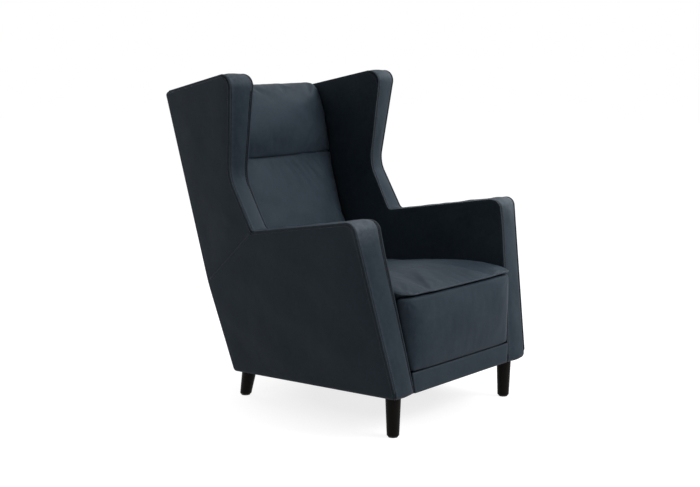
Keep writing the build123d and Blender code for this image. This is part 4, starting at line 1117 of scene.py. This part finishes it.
def laidOn(path, points, normals):  # a line moved to the nearest points of a surface and evened out along its length
    near = np.array([np.argmin(((points - spot) ** 2).sum(1)) for spot in path])
    line = np.concatenate([points[near], normals[near]], 1)
    for step in range(8):
        line[1:-1] = (line[:-2] + 2 * line[1:-1] + line[2:]) / 4
    return line[:, :3], line[:, 3:] / np.linalg.norm(line[:, 3:], axis=1, keepdims=True)


seatTrim = {"gap": 3, "radius": 2.5, "proud": 0.8, "rise": [0, 0, 2.4], "stitchRise": [0, 0, 8], "stitchProud": 0.5}
seatNormals = normalsOf(seat.data)
weltLine, weltUp = laidOn(evenly(seatEdge, seatTrim["gap"]), seatPoints, seatNormals)
seatWelt = tube(weltLine + weltUp * seatTrim["proud"] + seatTrim["rise"], weltUp, seatTrim["radius"])
place("seat_welt", seatWelt, "seat", "navy_leather", leather)
stitchLine, stitchUp = laidOn(weltLine + seatTrim["stitchRise"], seatPoints, seatNormals)
seatStitches = stitchRow(stitchLine + stitchUp * seatTrim["stitchProud"], stitchUp)
place("seat_stitches", seatStitches, "seat", "navy_leather", thread)

footrest = inflate("footrest_upholstery", footrestPad(), footrestSettings, footrestHeld, footrestFinish)[0]
settle(footrest, "footrest", leather, ["footrest_pad"])
for name, s, node, fill in (("back_upholstery", lumbarSettings, "back_cushion", 0.7),
                            ("head_upholstery", headSettings, "head_cushion", 0.75)):
    pad = inflate(name, backPad(s), s, backHeld, lambda points, normals: backFinish(points, normals, s["wrinkles"]))[0]
    settle(pad, "back", leather, [node])
print("stage: cushions dressed")

# The studio: metres and watts, each lamp with its place, its size and its power. The floor glows white, with a painted
# shadow:
# an oval under the chair, moved ahead a little, inside which the floor is least white.
studio = {
    "floor": 14.0, "floorGrey": 0.32, "paintedShadowOval": (0.36, 0.42), "paintedShadowAhead": 0.12, "paintedShadowFrom": 0.5, "paintedShadowTo": 1.6,
    "paintedShadowLevel": 0.80, "world": 0.06, "target": (0, 0, 0.5),
    "lamps": {"key": ((1.6, -3.4, 2.9), (2.4, 1.8), 124), "side": ((2.8, -0.8, 3.0), (2.0, 2.0), 44),
              "top": ((0.3, 0.8, 3.6), (2.4, 2.4), 16), "left": ((-3.6, -0.6, 2.2), (2.0, 2.0), 10),
              "rear": ((0.6, 3.6, 2.2), (2.4, 2.0), 26)},
    "cameraSpot": (-3.076, -2.695, 1.167), "cameraWay": (0.7442, 0.6485, -0.1599), "lens": 63.77,
}
floorPoints = np.array([[-1, -1, 0], [1, -1, 0], [1, 1, 0], [-1, 1, 0]]) * studio["floor"] * 1000
floor = putMesh("studio_floor", floorPoints, np.array([[0, 1, 2, 3]]))
paint = bpy.data.materials.new("white_painted_floor")  # flat white paint, seen as a white sweep
world = bpy.data.worlds.new("studio_white")
seenIn = []  # 1 where the camera, a reflection or glass sees the floor or the world, and 0 for their light
for owner in (paint, world):
    owner.use_nodes = True
    tree = owner.node_tree
    tree.nodes.clear()
    path = addNode(tree, "ShaderNodeLightPath")
    seen = addNode(tree, "ShaderNodeMath", {"operation": "ADD"}, i0=path.outputs["Is Camera Ray"],
                   i1=path.outputs["Is Glossy Ray"])
    seen = addNode(tree, "ShaderNodeMath", {"operation": "ADD", "use_clamp": True}, i0=seen.outputs[0],
                   i1=path.outputs["Is Transmission Ray"])
    seenIn.append(seen.outputs[0])

tree = paint.node_tree
wide, long = studio["paintedShadowOval"]
where = addNode(tree, "ShaderNodeTexCoord").outputs["Object"]
spot = addNode(tree, "ShaderNodeVectorMath", {"operation": "MULTIPLY_ADD"}, i0=where, i1=(1 / wide, 1 / long, 0),
               i2=(0, studio["paintedShadowAhead"] / long, 0))
away = addNode(tree, "ShaderNodeVectorMath", {"operation": "LENGTH"}, i0=spot.outputs[0])
# painted shadow: the floor's glow drops inside the oval under the chair
level = addNode(tree, "ShaderNodeMapRange", Value=away.outputs["Value"], From_Min=studio["paintedShadowFrom"],
                From_Max=studio["paintedShadowTo"], To_Min=studio["paintedShadowLevel"], To_Max=1.0)
lift = addNode(tree, "ShaderNodeMath", {"operation": "MULTIPLY"}, i0=seenIn[0], i1=level.outputs[0])
glow = addNode(tree, "ShaderNodeEmission", Strength=lift.outputs[0])
matt = addNode(tree, "ShaderNodeBsdfDiffuse", Color=(*[studio["floorGrey"]] * 3, 1))
both = addNode(tree, "ShaderNodeAddShader", i0=glow.outputs[0], i1=matt.outputs[0])
addNode(tree, "ShaderNodeOutputMaterial", Surface=both.outputs[0])
floor.data.materials.append(paint)

tree = world.node_tree
level = addNode(tree, "ShaderNodeMapRange", Value=seenIn[1], To_Min=studio["world"], To_Max=1.0)
sky = addNode(tree, "ShaderNodeBackground", Color=(1, 1, 1, 1), Strength=level.outputs[0])
addNode(tree, "ShaderNodeOutputWorld", Surface=sky.outputs[0])
bpy.context.scene.world = world


def aim(name, data, spot, forward):  # an object whose -Z points along forward, with its Y up
    thing = bpy.data.objects.new(name, data)
    bpy.context.scene.collection.objects.link(thing)
    forward = np.array(forward) / np.linalg.norm(forward)
    right = np.cross(forward, [0, 0, 1])
    right /= np.linalg.norm(right)
    turn = Matrix([list(right), list(np.cross(right, forward)), list(-forward)]).transposed().to_4x4()
    thing.matrix_world = Matrix.Translation(list(spot)) @ turn
    return thing


for name, (spot, size, power) in studio["lamps"].items():
    lamp = bpy.data.lights.new(name + "_softbox", "AREA")
    lamp.shape, lamp.energy = "RECTANGLE", power
    lamp.size, lamp.size_y = size
    aim(name + "_softbox", lamp, spot, np.array(studio["target"]) - spot)

camera = bpy.data.cameras.new("photo_camera")
camera.sensor_width, camera.lens, camera.clip_end = 36, studio["lens"], 60
bpy.context.scene.camera = aim("photo_camera", camera, studio["cameraSpot"], studio["cameraWay"])
bpy.context.scene.view_settings.view_transform = "Standard"
print("stage: studio ready")

bpy.context.view_layer.update()
